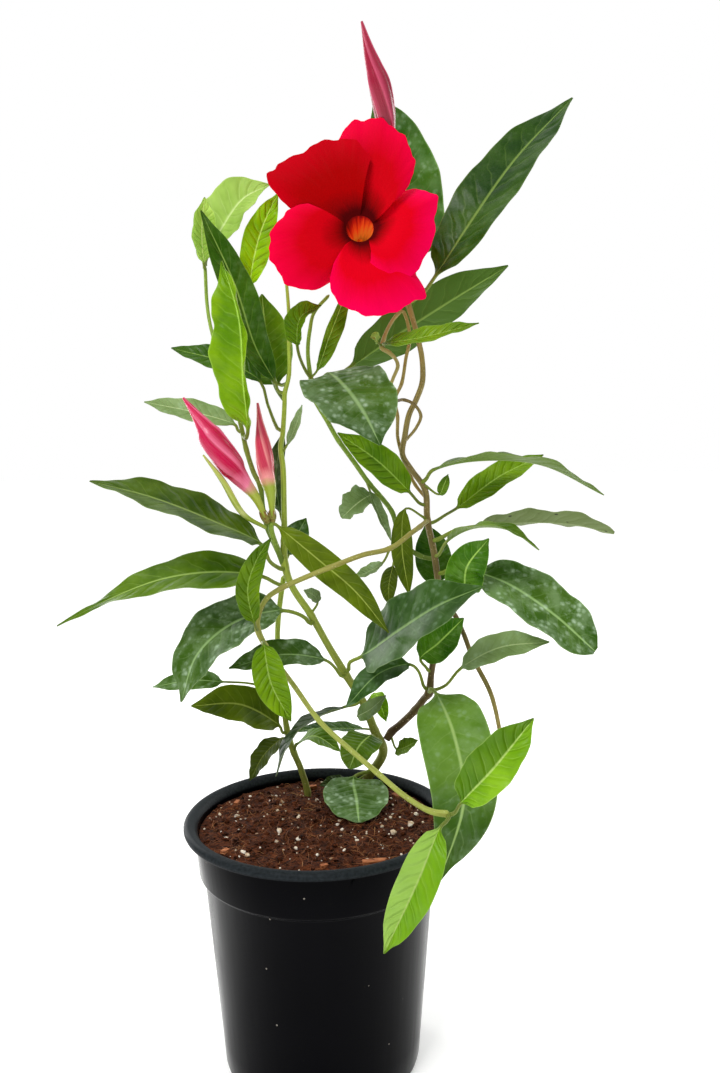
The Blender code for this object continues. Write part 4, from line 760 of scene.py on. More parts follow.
def leaf_finish(name, dark, light, vein, under, rough, dust=0.0, specks=0.0, pucker=0.5,
                vein_show=0.22, dust_tone="#8FA88C", shiny=0.12, painted_half_light=0, painted_half_tone="#2E5206",
                dim_tip=0.0):
    """A leaf's skin: mottled green, pale midrib and arching side veins with puckers
    between them, a duller paler underside, and dried spray marks where dust is above 0.
    Each leaf's own "lit" scales its colour: partly its own lighter or deeper green, and
    partly painted light and shade for how brightly it is lit. One half of the blade can
    also be given painted light or shade of its own."""
    material, tree, shader = finish(name, specular_ior_level=shiny)
    skin = add(tree, "UVMap", uv_map="skin")
    spot = add(tree, "TexCoord", out=3)
    turn = add(tree, "SeparateXYZ", {0: skin})
    share = turn.node.outputs[1]
    below = add(tree, "Math", {0: turn, 1: (ACROSS + 0.5) / AROUND}, operation="GREATER_THAN")
    across = add(tree, "Math", {0: turn, 1: 0.5}, operation="MODULO")
    across = add(tree, "Math", {0: across, 1: 2 * AROUND / ACROSS, 2: -1.0},
                 operation="MULTIPLY_ADD")
    across = add(tree, "Math", {0: across}, operation="ABSOLUTE")
    part = add(tree, "MapRange", {"Value": share}, span=(STALK_PART, 1.0))
    on_stalk = add(tree, "MapRange", {"Value": share},
                   span=(STALK_PART - 0.01, STALK_PART + 0.03, 1.0, 0.0))
    drift = add(tree, "TexNoise", {"Vector": spot, "Scale": 1000 / 11, "Detail": 2})
    mottle = add(tree, "TexNoise", {"Vector": spot, "Scale": 1000 / 16, "Detail": 4})
    fine = add(tree, "TexNoise", {"Vector": spot, "Scale": 1000 / 0.9, "Detail": 3})
    count = add(tree, "Math", {0: part, 1: 10.0, 2: drift}, operation="MULTIPLY_ADD")
    count = add(tree, "Math", {0: across, 1: -1.5, 2: count}, operation="MULTIPLY_ADD")
    gap = add(tree, "Math", {0: count, 1: 0.5}, operation="PINGPONG")
    ridge = add(tree, "MapRange", {"Value": gap}, span=(0.01, 0.06, 1.0, 0.0))
    reach = add(tree, "MapRange", {"Value": across}, span=(0.45, 0.97, vein_show, 0.0))
    ridge = add(tree, "Math", {0: ridge, 1: reach}, operation="MULTIPLY")
    rib = add(tree, "MapRange", {"Value": across}, span=(0.02, 0.065, 0.75, 0.0))
    tone = add(tree, "MapRange", {"Value": mottle}, span=(0.32, 0.68))
    tone = add(tree, "Mix", {0: tone, 6: dark, 7: light}, **BLEND)
    # Painted light and shade on one half of the blade, beside the midrib: that half is mixed
    # toward its own lighter or darker tone.
    if painted_half_light:
        half = add(tree, "Math", {0: turn, 1: ACROSS / 2 / AROUND},
                   operation="GREATER_THAN" if painted_half_light > 0 else "LESS_THAN")
        half = add(tree, "Math", {0: half, 1: 0.55}, operation="MULTIPLY")
        tone = add(tree, "Mix", {0: half, 6: tone, 7: painted_half_tone}, **BLEND)
    if dim_tip:
        far = add(tree, "MapRange", {"Value": part}, span=(0.35, 0.75, 0.0, dim_tip))
        tone = add(tree, "Mix", {0: far, 6: tone, 7: "#24400E"}, **BLEND)
    tone = add(tree, "Mix", {0: ridge, 6: tone, 7: vein}, **BLEND)
    tone = add(tree, "Mix", {0: rib, 6: tone, 7: vein}, **BLEND)
    margin = add(tree, "MapRange", {"Value": across}, span=(0.955, 0.99, 0.0, 0.35))
    tone = add(tree, "Mix", {0: margin, 6: tone, 7: vein}, **BLEND)
    shine = add(tree, "MapRange", {"Value": fine}, span=(0.3, 0.7, rough - 0.05, rough + 0.07))
    if dust:
        marks = add(tree, "TexVoronoi", {"Vector": spot, "Scale": 1000 / 3.2})
        marks = add(tree, "MapRange", {"Value": marks}, span=(0.16, 0.46, 1.0, 0.0))
        film = add(tree, "TexNoise", {"Vector": spot, "Scale": 1000 / 8, "Detail": 6,
                                      "Roughness": 0.65})
        film = add(tree, "MapRange", {"Value": film}, span=(0.42, 0.62, 0.0, dust))
        marks = add(tree, "Math", {0: marks, 1: 0.65, 2: 0.2}, operation="MULTIPLY_ADD")
        film = add(tree, "Math", {0: film, 1: marks}, operation="MULTIPLY")
        tone = add(tree, "Mix", {0: film, 6: tone, 7: dust_tone}, **BLEND)
        shine = add(tree, "Math", {0: film, 1: 0.35, 2: shine}, operation="MULTIPLY_ADD")
    back = add(tree, "Mix", {0: ridge, 6: under, 7: vein}, **BLEND)
    back = add(tree, "Mix", {0: rib, 6: back, 7: vein}, **BLEND)
    if specks:
        black = add(tree, "TexVoronoi", {"Vector": spot, "Scale": 1000 / 7})
        black = add(tree, "MapRange", {"Value": black}, span=(0.10, 0.15, specks, 0.0))
        back = add(tree, "Mix", {0: black, 6: back, 7: "#1B1A12"}, **BLEND)
        tone = add(tree, "Mix", {0: black, 6: tone, 7: "#1B1A12"}, **BLEND)
    # Painted light and shade: "lit" scales the top colour, partly for the leaf's own green and
    # partly for how brightly it is lit; the underside is scaled more mildly.
    lit = add(tree, "Attribute", out=2, attribute_name="lit")
    tone = add(tree, "VectorMath", {0: tone, "Scale": lit}, operation="SCALE")
    milder = add(tree, "Math", {0: lit, 1: 0.25}, operation="POWER")
    back = add(tree, "VectorMath", {0: back, "Scale": milder}, operation="SCALE")
    tone = add(tree, "Mix", {0: below, 6: tone, 7: back}, **BLEND)
    tone = add(tree, "Mix", {0: on_stalk, 6: tone, 7: "#7F8F3A"}, **BLEND)
    shine = add(tree, "Math", {0: below, 1: 0.16, 2: shine}, operation="MULTIPLY_ADD")
    hump = add(tree, "MapRange", {"Value": gap}, span=(0.0, 0.34),
               interpolation_type="SMOOTHSTEP")
    fold = add(tree, "MapRange", {"Value": across}, span=(0.6, 1.0, 1.0, 0.25))
    hump = add(tree, "Math", {0: hump, 1: fold}, operation="MULTIPLY")
    relief = add(tree, "Bump", {"Strength": pucker, "Distance": 0.45 * MM, "Height": hump})
    relief = add(tree, "Bump", {"Strength": 0.2, "Distance": 0.12 * MM, "Height": fine,
                                "Normal": relief})
    feed(tree, shader, base_color=tone, roughness=shine, normal=relief)
    return material


# Mature leaves: deep green and waxy, with a pale midrib and a sheen on the high spots. Their pale
# film is partly dried spray and partly a painted sheen.
waxy_dark = leaf_finish("waxy_dark_green", "#1C4004", "#385C08", "#86A44C", "#46661C", 0.27,
                        dust=0.2, vein_show=0.14, shiny=0.11, dust_tone="#86A070")
leaf("leaf_top_right", waxy_dark,
     stalk=[(44, 13, 340), (49, 12, 342)],
     blade=[(55, 13, 350), (71, 17, 374), (92, 24, 403), (120, 34, 433)],
     width=29, face=(-0.35, -0.75, 0.5), fold=12, wave=0.8, phase=0, quilt=0.25, lit=0.88)
leaf("leaf_under_bloom", waxy_dark,
     stalk=[(4, 22, 303), (10, 28, 308)],
     blade=[(17, 30, 313), (38, 32, 327), (64, 33, 343), (91, 36, 359)],
     width=25, face=(-0.3, 0.8, 0.5), fold=10, wave=0.8, phase=0.74, lit=1.4)
leaf("leaf_long_left", waxy_dark,
     stalk=[(-13, 6, 300)],
     blade=[(-16, 8, 304), (-25, 11, 321), (-33, 11, 347), (-47, 10, 379)],
     width=16, face=(0.25, -0.95, 0.2), fold=14, wave=0.8, outline=LONG, phase=0.48, lit=1.2)
leaf("leaf_far_left", waxy_dark,
     stalk=[(-15, 9, 283), (-20, 12, 295)],
     blade=[(-23, 13, 305), (-35, 16, 313), (-63, 16, 321)],
     width=14, face=(-0.1, -0.75, 0.65), fold=10, wave=0.5, outline=LONG, phase=0.96, lit=1.2)
leaf("leaf_front_shaded", waxy_dark,
     stalk=[(53, 14, 173), (50, 12, 177)],
     blade=[(47, 11, 179), (55, 8, 187), (66, 4, 199)],
     width=17, face=(0.2, -0.7, 0.7), fold=10, wave=0.5, phase=0.51, lit=2)
leaf("leaf_hidden_dark", waxy_dark,
     stalk=[(55, 17, 210)],
     blade=[(55, 20, 212), (54, 24, 225), (51, 24, 240)],
     width=17, face=(0, -1, 0.2), fold=8, wave=0.6, phase=0.62, lit=1.2)
leaf("leaf_right_glossy", waxy_dark,
     stalk=[(55, 8, 207), (62, 2, 208)],
     blade=[(65, -3, 212), (66, -10, 224), (75, -12, 236)],
     width=17, face=(-0.1, -1, 0.2), fold=10, wave=1.2, outline=BROAD,
     phase=0.47, quilt=0.6, lit=2)
leaf("flat_leaf_low", waxy_dark, on="left_stem",
     stalk=[(27, 27, 141)],
     blade=[(21, 30, 141), (2, 32, 141), (-15, 32, 140)],
     width=11, face=(0, -0.15, 1), fold=10, wave=0.4, outline=LONG, phase=0.09, lit=1.05)

# Full-grown leaves of middle green, a little less glossy.
middle_green = leaf_finish("middle_green_leaf", "#2F4E02", "#55720A", "#9AB45C", "#6E883A", 0.32,
                           dust=0.15, vein_show=0.14, shiny=0.11, dust_tone="#8AA470")
leaf("leaf_left_drip", middle_green,
     stalk=[(-10, 1, 216), (-17, -3, 217)],
     blade=[(-22, -5, 220), (-40, -9, 223), (-63, -12, 221), (-86, -13, 213), (-110, -12, 201)],
     width=23.04, face=(-0.15, -0.6, 0.8), fold=8, wave=0.8, outline=DRIP, phase=0.07, lit=1.3)
leaf("leaf_right_arch", middle_green,
     stalk=[(49, 10, 260)],
     blade=[(53, 8, 265), (69, 6, 269), (100, 4, 267), (128, 4, 253)],
     width=24, face=(0.05, 0, 1), fold=12, wave=0.8, outline=LONG, phase=0.99, lit=0.9)
leaf("leaf_right_slim", middle_green,
     stalk=[(53, 9, 226)],
     blade=[(59, 3, 234), (70, -12, 241), (83, -20, 240), (94, -24, 232)],
     width=13, face=(0.05, -0.1, 1), fold=12, wave=0.5, outline=LONG, phase=0.1, lit=1.25)
leaf("leaf_round_small", middle_green,
     stalk=[(27, 24, 137)],
     blade=[(24, 16, 142), (18, 5, 140), (14, 0, 132)],
     width=18, face=(-0.2, -0.7, 0.7), fold=6, wave=0.5, outline=ROUND, phase=0.32, lit=1.1)
leaf("folded_leaf", middle_green, on="centre_stem",
     stalk=[(-1, 18, 307)],
     blade=[(2, 16, 310), (8, 14, 325), (17, 16, 347)],
     width=10, face=(0.5, -0.8, 0.2), fold=40, wave=0.3, outline=LONG, phase=0.28, lit=2)
leaf("bud_leaflet", middle_green, on="right_stem",
     stalk=[(50, 14, 258)],
     blade=[(56, 12, 254), (58, 10, 258), (60, 10, 263)],
     width=5, face=(0, -0.9, 0.3), fold=14, wave=0.2, phase=0.98, lit=1.7)
leaf("fork_leaflet", middle_green, on="right_stem",
     stalk=[(34, 28, 137)],
     blade=[(36, 24, 133), (40, 20, 135), (46, 18, 139)],
     width=9, face=(0, -0.6, 0.8), fold=14, wave=0.3, phase=0.72, lit=1.1)
leaf("glossy_leaf_low", middle_green, on="basal_stem",
     stalk=[(-13, 29, 131)],
     blade=[(-11, 24, 136), (-2, 17, 142), (10, 12, 136)],
     width=12, face=(0.1, -0.35, 0.95), fold=10, wave=0.4, phase=0.46, lit=2)
leaf("soil_leaflet", middle_green, on="left_stem",
     stalk=[(26, 38, 118)],
     blade=[(14, 34, 113), (6, 32, 114), (-1, 31, 113)],
     width=8, face=(0, -0.5, 0.9), fold=10, wave=0.3, phase=0.83, lit=0.4)
leaf("leaf_dusky_left", middle_green,
     stalk=[(-10, 12, 307), (-12, 20, 305)],
     blade=[(-16, 25, 305), (-21, 28, 321), (-23, 27, 346)],
     width=24, face=(-0.15, -1, 0.1), fold=8, wave=0.8, phase=0.22, lit=1.75)
leaf("leaf_left_upper", middle_green,
     stalk=[(-15, 0, 223), (-19, -6, 227)],
     blade=[(-22, -7, 234), (-41, -14, 245), (-66, -20, 256), (-90, -24, 263)],
     width=27, face=(-0.1, -0.42, 0.9), fold=10, wave=0.8, phase=0.7, quilt=0.25, lit=0.85)

# Older leaves gone blue-green, with grey rings and films that dried spray has left.
dusty_blue = leaf_finish("dusty_blue_green", "#27460C", "#44621A", "#86A464", "#7A8C58", 0.38,
                         dust=0.85, vein_show=0.14, shiny=0.09, dust_tone="#A2B89C")
leaf("leaf_left_drooping", dusty_blue,
     stalk=[(0, 4, 198), (-5, 1, 201)],
     blade=[(-14, 1, 204), (-35, -3, 200), (-51, -9, 187), (-58, -12, 167)],
     width=33, face=(-0.45, -0.6, 0.65), fold=8, wave=1, phase=0.44, lit=1.2)
leaf("leaf_centre_left", dusty_blue,
     stalk=[(11, 10, 172), (8, 6, 177)],
     blade=[(4, 3, 181), (-14, -2, 185), (-38, -6, 180)],
     width=16, face=(0, -0.6, 0.8), fold=14, wave=0.6, phase=0.18, lit=1.2)
leaf("leaf_blotched_centre", dusty_blue,
     stalk=[(2, 17, 301), (4, 13, 305)],
     blade=[(7, 10, 308), (15, -4, 301), (23, -15, 289), (29, -23, 276)],
     width=38, face=(-0.05, -0.5, 0.85), fold=6, wave=1.2, outline=BROAD, phase=0.4, lit=1.15)
leaf("leaf_right_large", dusty_blue,
     stalk=[(55, 10, 218), (63, 8, 222)],
     blade=[(71, 4, 220), (85, -3, 215), (104, -10, 202), (120, -14, 187)],
     width=30, face=(0.3, -0.68, 0.66), fold=8, wave=0.8, outline=BLUNT, phase=0.84, lit=1.6)
leaf("leaf_round_low", dusty_blue,
     stalk=[(24, 34, 118)],
     blade=[(16, 28, 118), (17, 11, 113), (18, -7, 110)],
     width=30, face=(0, -0.25, 1), fold=4, wave=0.6, outline=ROUND, phase=0.95, lit=1.45)
leaf("leaf_grey_long", dusty_blue,
     stalk=[(20, 17, 157)],
     blade=[(12, 12, 157), (-3, 6, 153), (-13, 3, 144), (-19, 0, 129)],
     width=15, face=(-0.5, -0.05, 0.85), fold=10, wave=0.5, outline=LONG, phase=0.69, lit=0.4)
leaf("leaf_grey_small", dusty_blue,
     stalk=[(-16, 22, 163), (-32, 22, 166)],
     blade=[(-45, 22, 167), (-60, 22, 168), (-78, 22, 165)],
     width=10, face=(0, -0.8, 0.6), fold=10, wave=0.4, phase=0.43, lit=1.65)
leaf("narrow_leaf_grey", dusty_blue, on="left_stem",
     stalk=[(-13, 2, 240)],
     blade=[(-15, 6, 247), (-17, 10, 264), (-13, 12, 284)],
     width=9, face=(-0.4, -0.9, 0.1), fold=10, wave=0.4, outline=LONG, phase=0.02, lit=0.85)
leaf("blue_green_leaf", dusty_blue, on="left_stem",
     stalk=[(-13, 2, 225)],
     blade=[(-12, 8, 228), (-9, 12, 235), (-4, 14, 244)],
     width=12, face=(0, -0.9, 0.3), fold=10, wave=0.4, phase=0.39, lit=1.3)
# The broad leaf in front is deeper, with only a thin film left on it.
deep_filmed = leaf_finish("deep_green_filmed", "#1E3E0A", "#365816", "#7F9E5C", "#6E8450", 0.36,
                          dust=0.4, pucker=0.2, vein_show=0.1, shiny=0.1, dust_tone="#8CA888")
leaf("leaf_front_large", deep_filmed,
     stalk=[(13, 8, 174), (15, 3, 180)],
     blade=[(20, 0, 183), (37, -14, 198), (53, -24, 210), (70, -30, 218)],
     width=33, face=(-0.25, -0.62, 0.75), fold=8, wave=1, outline=BROAD, phase=0.14, lit=1)
leaf("leaf_behind_bloom", deep_filmed,
     stalk=[(41, 25, 349), (47, 33, 352)],
     blade=[(47, 40, 362), (45, 48, 388), (40, 50, 416), (30, 46, 441)],
     width=36, face=(0.1, -1, 0.15), fold=8, wave=1.2, phase=0.37, quilt=0.2, lit=1.95)
leaf("leaf_centre_low", deep_filmed,
     stalk=[(50, 12, 165), (46, 8, 174)],
     blade=[(42, 5, 178), (28, -2, 176), (13, -6, 162)],
     width=13, face=(-0.25, -0.7, 0.6), fold=12, wave=0.6, phase=0.88, lit=1.2)

# Olive leaves, lit from behind or yellowing, with a plain pale midrib.
olive_leaf = leaf_finish("olive_green_leaf", "#3E5204", "#647810", "#A2B050", "#76863A", 0.36,
                         vein_show=0.14, shiny=0.1)
leaf("leaf_left_olive", olive_leaf,
     stalk=[(-15, 26, 141)],
     blade=[(-19, 23, 145), (-36, 15, 158), (-58, 10, 159)],
     width=19, face=(-0.1, -0.75, 0.65), fold=10, wave=0.8, phase=0.81, lit=1.05)
leaf("leaf_diagonal_olive", olive_leaf,
     stalk=[(-18, -2, 244)],
     blade=[(-15, -6, 242), (2, -10, 228), (18, -12, 214), (32, -12, 196)],
     width=12.75, face=(-0.35, -0.85, 0.35), fold=8, wave=0.8, phase=0.55, lit=1.08)
leaf("leaf_hidden_olive", olive_leaf,
     stalk=[(51, 13, 244)],
     blade=[(41, 9, 248), (39, 9, 232), (42, 8, 209)],
     width=10, face=(-0.1, -1, 0.1), fold=12, wave=0.6, outline=LONG, phase=0.25)
leaf("leaf_basal_brown", olive_leaf,
     stalk=[(-15, 26, 138)],
     blade=[(-18, 23, 139), (-26, 19, 133), (-33, 17, 121)],
     width=12, face=(-0.5, -0.6, 0.6), fold=12, wave=0.5, phase=0.06, lit=0.5)
leaf("olive_leaflet", olive_leaf, on="centre_stem",
     stalk=[(39, 17, 233), (36, 14, 226)],
     blade=[(35, 12, 222), (33, 12, 213), (33, 12, 204)],
     width=8, face=(-0.2, -0.9, 0.3), fold=14, wave=0.3, phase=0.24, lit=0.72)

# Fresh leaves: bright, puckered between the veins, with the veins sunk and clear.
fresh_green = leaf_finish("fresh_bright_green", "#4C7402", "#74980A", "#A2C456", "#80A038", 0.34,
                          pucker=1.0, vein_show=0.14, shiny=0.13)
leaf("leaf_rippled_left", fresh_green,
     stalk=[(-30, 0, 281), (-28, -4, 280)],
     blade=[(-27, -6, 283), (-28, -9, 302), (-29, -10, 329), (-36, -6, 354)],
     width=26, face=(-0.62, -0.78, 0.05), fold=38, wave=1.3, outline=LONG,
     phase=0.85, quilt=0.7, lit=1.4)
leaf("leaf_lime_up", fresh_green,
     stalk=[(-24, -21, 200)],
     blade=[(-24, -24, 203), (-26, -28, 218), (-22, -29, 230), (-16, -27, 239)],
     width=10.4, face=(0.15, -1, 0.1), fold=20, wave=0.8, phase=0.92, quilt=0.35, lit=0.8)
leaf("leaf_right_bright", fresh_green,
     stalk=[(52, 15, 241), (59, 18, 244)],
     blade=[(65, 22, 247), (85, 27, 261), (107, 32, 271)],
     width=14, face=(-0.3, -0.8, 0.45), fold=14, wave=0.6, phase=0.36, lit=1.1)
leaf("young_leaf", fresh_green, on="twining_vines",
     stalk=[(32, 10, 320)],
     blade=[(32, 2, 320), (47, -8, 321), (71, -12, 326)],
     width=9, face=(-0.1, -0.75, 0.6), fold=16, wave=0.5, outline=LONG, phase=0.8, lit=0.95)
leaf("curled_leaf", fresh_green, on="centre_stem",
     stalk=[(0, 18, 306), (-3, 16, 310)],
     blade=[(-6, 7, 320), (-4, 4, 332), (5, 5, 337)],
     width=12, face=(-0.3, -0.8, 0.5), fold=30, wave=0.5, phase=0.91, lit=0.9)
leaf("leaf_mid_olive", fresh_green,
     stalk=[(49, 15, 249)],
     blade=[(43, 13, 255), (29, 9, 269), (11, 6, 282)],
     width=15, face=(-0.2, -0.8, 0.5), fold=14, wave=0.6, phase=0.77, lit=1.2)
leaf("yellow_leaflet", fresh_green, on="left_stem",
     stalk=[(22, 20, 156)],
     blade=[(26, 16, 162), (28, 10, 160), (31, 8, 151)],
     width=7, face=(0.1, -0.9, 0.3), fold=14, wave=0.3, phase=0.61, lit=2)

# Young lime leaves: thin and yellow-green, folded along the midrib and cross-rippled.
young_lime = leaf_finish("young_lime_green", "#5C8A00", "#86B008", "#B0D264", "#8CB23E", 0.34,
                         pucker=1.0, vein_show=0.16, shiny=0.13)
leaf("leaf_rippled_pale", young_lime,
     stalk=[(-29, 19, 343)],
     blade=[(-28, 20, 348), (-25, 19, 362), (-21, 18, 374), (-14, 18, 388)],
     width=14, face=(0.1, -1, 0.05), fold=15, wave=1.2, outline=LONG,
     phase=0.59, quilt=0.35, lit=1.5)
leaf("leaf_lime_down", young_lime,
     stalk=[(-21, -21, 195)],
     blade=[(-20, -27, 195), (-17, -32, 180), (-9, -33, 164)],
     width=14, face=(0.1, -0.95, 0.3), fold=18, wave=0.8, phase=0.29, quilt=0.35, lit=0.74)
# The runner's upper leaf is folded like a boat, one half in its own shade, which is painted
# darker.
lime_half_shaded = leaf_finish("lime_green_painted_half_shade", "#5A8E00", "#84B41A", "#BEDA78", "#8CB23E", 0.38,
                          pucker=1.0, vein_show=0.16, shiny=0.2, painted_half_light=-1)
# The lower one hangs with one half turned up to the light, painted paler than the other.
lime_lit = leaf_finish("lime_green_lit", "#6CA806", "#86BC12", "#C2E078", "#8CB23E", 0.36,
                       pucker=1.0, vein_show=0.16, shiny=0.2, painted_half_light=1, painted_half_tone="#C2EC74")
leaf("leaf_runner_up", lime_half_shaded,
     stalk=[(55, -61, 137)],
     blade=[(57, -62, 140), (69, -64, 154), (85, -60, 172)],
     width=20, face=(-0.35, -0.85, 0.4), fold=28, wave=1.2, phase=0.03, quilt=0.6, lit=1.05)
leaf("leaf_runner_down", lime_lit,
     stalk=[(52, -62, 134)],
     blade=[(49, -65, 132), (40, -71, 114), (27, -71, 86)],
     width=16, face=(-0.1, -1, 0.2), fold=16, wave=0.9, phase=0.66, quilt=0.4, lit=0.76)
# The pale leaf that arches over at the top left is dull, thin and washed out.
lime_arching = leaf_finish("pale_arching_green", "#7C9E3C", "#9CBC56", "#C6DA90", "#7E9E48", 0.45,
                           pucker=0.8, vein_show=0.2)
leaf("leaf_arching_pale", lime_arching,
     stalk=[(-48, 25, 358)],
     blade=[(-47, 25, 363), (-40, 24, 375), (-30, 22, 387), (-18, 22, 393)],
     width=28, face=(-0.35, -0.85, 0.4), fold=20, wave=0.8, phase=0.11, quilt=0.4, lit=1.2)
leaf("young_leaf_curl", lime_arching, on="twining_vines",
     stalk=[(31, 10, 320)],
     blade=[(29, 6, 321), (28, 4, 323), (26, 4, 323)],
     width=5, face=(0, -0.75, 0.6), fold=16, wave=0.2, phase=0.17, lit=1.3)
leaf("upright_pale_leaf", lime_arching, on="left_stem",
     stalk=[(-48, 22, 357)],
     blade=[(-48, 20, 359), (-48, 17, 372), (-46, 15, 386)],
     width=14.85, face=(0.75, -0.65, 0.1), fold=16, wave=0.5, outline=LONG, phase=0.54, lit=2)
# The lowest big leaf hangs in front of the rim and darkens toward its tip.
green_hanging = leaf_finish("middle_green_darkening", "#486C18", "#648630", "#94AE66", "#6E883A",
                            0.38, dust=0.35, vein_show=0.1, dim_tip=0.75)
leaf("leaf_hanging_large", green_hanging,
     stalk=[(52, 9, 164), (51, 4, 167)],
     blade=[(53, 0, 166), (59, -20, 153), (61, -37, 131), (50, -50, 104)],
     width=30, face=(-0.1, -0.85, 0.5), fold=8, wave=1, outline=BROAD,
     phase=0.58, quilt=0.3, lit=1.3)
# Some leaves have lost their shine and gone a dry grey-green all over.
dry_grey = leaf_finish("dry_grey_green", "#566C3A", "#748858", "#98A878", "#7E8C60", 0.5, dust=0.4,
                       vein_show=0.12, shiny=0.08)
leaf("leaf_grey_left", dry_grey,
     stalk=[(-30, 4, 283)],
     blade=[(-34, 7, 286), (-52, 10, 292), (-75, 12, 297)],
     width=13, face=(-0.1, -0.7, 0.7), fold=10, wave=0.4, outline=LONG, phase=0.33, lit=1.7)
leaf("leaf_right_lower", dry_grey,
     stalk=[(53, 10, 165), (58, 3, 169)],
     blade=[(64, -3, 178), (80, -8, 188), (101, -12, 191)],
     width=14, face=(-0.05, -0.7, 0.7), fold=12, wave=0.6, phase=0.21, lit=1.45)
leaf("wilted_leaf", dry_grey, on="centre_stem",
     stalk=[(30, 16, 253)],
     blade=[(26, 15, 254), (20, 12, 251), (12, 12, 244)],
     width=14, face=(-0.1, -0.8, 0.6), fold=24, wave=1.2, outline=ROUND, phase=0.13, lit=1.3)
leaf("runner_leaflet", dry_grey, on="runner",
     stalk=[(33, -9, 232)],
     blade=[(30, -8, 226), (24, -6, 222), (17, -4, 219)],
     width=6, face=(0, -0.7, 0.7), fold=20, wave=0.3, phase=0.87, lit=1.3)
leaf("branch_leaflet", dry_grey, on="left_stem",
     stalk=[(-2, 5, 202)],
     blade=[(1, 3, 207), (0, 2, 210), (-5, 2, 213)],
     width=6, face=(0, -0.7, 0.7), fold=10, wave=0.3, phase=0.76, lit=0.95)
leaf("folded_slip", dry_grey, on="centre_stem",
     stalk=[(24, 16, 259)],
     blade=[(25, 12, 256), (28, 8, 248), (34, 6, 234)],
     width=6, face=(0.5, -0.8, 0.2), fold=34, wave=0.3, outline=LONG, phase=0.5, lit=1.15)
leaf("blue_leaflet", dry_grey, on="left_stem",
     stalk=[(23, 21, 152)],
     blade=[(18, 14, 152), (24, 8, 157), (31, 5, 164)],
     width=8, face=(-0.2, -0.8, 0.5), fold=10, wave=0.3, phase=0.35, lit=1.2)
leaf("narrow_leaf_right", dry_grey, on="left_stem",
     stalk=[(-13, 4, 274)],
     blade=[(-11, 2, 277), (-7, 0, 285), (-4, 0, 294)],
     width=5, face=(-0.5, -0.8, 0.2), fold=14, wave=0.2, outline=LONG, phase=0.65, lit=1.35)
# One leaf turns its dull, pale underside up, with a few black specks of mould.
specked_pale = leaf_finish("pale_underside_specked", "#5A6E3C", "#748A50", "#98A674", "#6E7E4C",
                           0.5, dust=0.3, specks=0.9)
leaf("leaf_right_pale", specked_pale,
     stalk=[(53, 12, 233), (63, 8, 238)],
     blade=[(72, 4, 240), (93, 0, 242), (113, -5, 241), (129, -9, 237)],
     width=25, face=(0, 0.32, 0.95), fold=10, wave=0.7, outline=BLUNT, phase=0.73, lit=1.15)

# Buds: slim trumpets still rolled shut, five petals wound in a spiral, in a waxy skin,
# each on a green tube with a collar of five narrow sepals.
BUD_ROWS = 72
BUD_SIDES = 60
LAP = 0.85                      # share of a petal before it tucks under the next


def bud_finish(name, tube, body_tone, tip, streak, green_end=0.3, rough=0.36):
    """Green tube below, then a pale band and the petal colour up to the tip, with the pale colour
    laid along each winding fold as a painted highlight.
    """
    material, tree, shader = finish(name, specular_ior_level=0.4)
    skin = add(tree, "UVMap", uv_map="skin")
    turn = add(tree, "SeparateXYZ", {0: skin})
    share = turn.node.outputs[1]
    wind = add(tree, "Math", {0: turn, 1: 5.0}, operation="MULTIPLY")
    fold = add(tree, "Math", {0: wind, 1: 1.0}, operation="MODULO")
    spot = add(tree, "TexCoord", out=3)
    patch = add(tree, "TexNoise", {"Vector": spot, "Scale": 1000 / 6, "Detail": 3})
    grain = add(tree, "Mapping", {"Vector": skin, "Scale": (22, 3, 1)})
    grain = add(tree, "TexNoise", {"Vector": grain, "Scale": 2.0, "Detail": 4})
    place = add(tree, "Math", {0: patch, 1: 0.12, 2: share}, operation="MULTIPLY_ADD")
    tone = add(tree, "ValToRGB", {0: place}, stops=[
        (0.0, tube), (green_end, tube), (green_end + 0.08, streak),
        (green_end + 0.18, body_tone), (0.9, tip), (1.0, tip)])
    # Painted highlight: the pale colour laid over one side of each winding fold, gone where it
    # tucks under the next.
    lit = add(tree, "MapRange", {"Value": fold}, span=(0.45, 0.85, 0.0, 0.75))
    tucked = add(tree, "MapRange", {"Value": fold}, span=(0.88, 0.98, 1.0, 0.0))
    lit = add(tree, "Math", {0: lit, 1: tucked}, operation="MULTIPLY")
    petals = add(tree, "MapRange", {"Value": share}, span=(green_end, green_end + 0.2))
    lit = add(tree, "Math", {0: lit, 1: petals}, operation="MULTIPLY")
    tone = add(tree, "Mix", {0: lit, 6: tone, 7: streak}, **BLEND)
    rough_map = add(tree, "MapRange", {"Value": grain}, span=(0.3, 0.7, rough - 0.06, rough + 0.1))
    relief = add(tree, "Bump", {"Strength": 0.35, "Distance": 0.3 * MM, "Height": grain})
    feed(tree, shader, base_color=tone, roughness=rough_map, normal=relief)
    return material


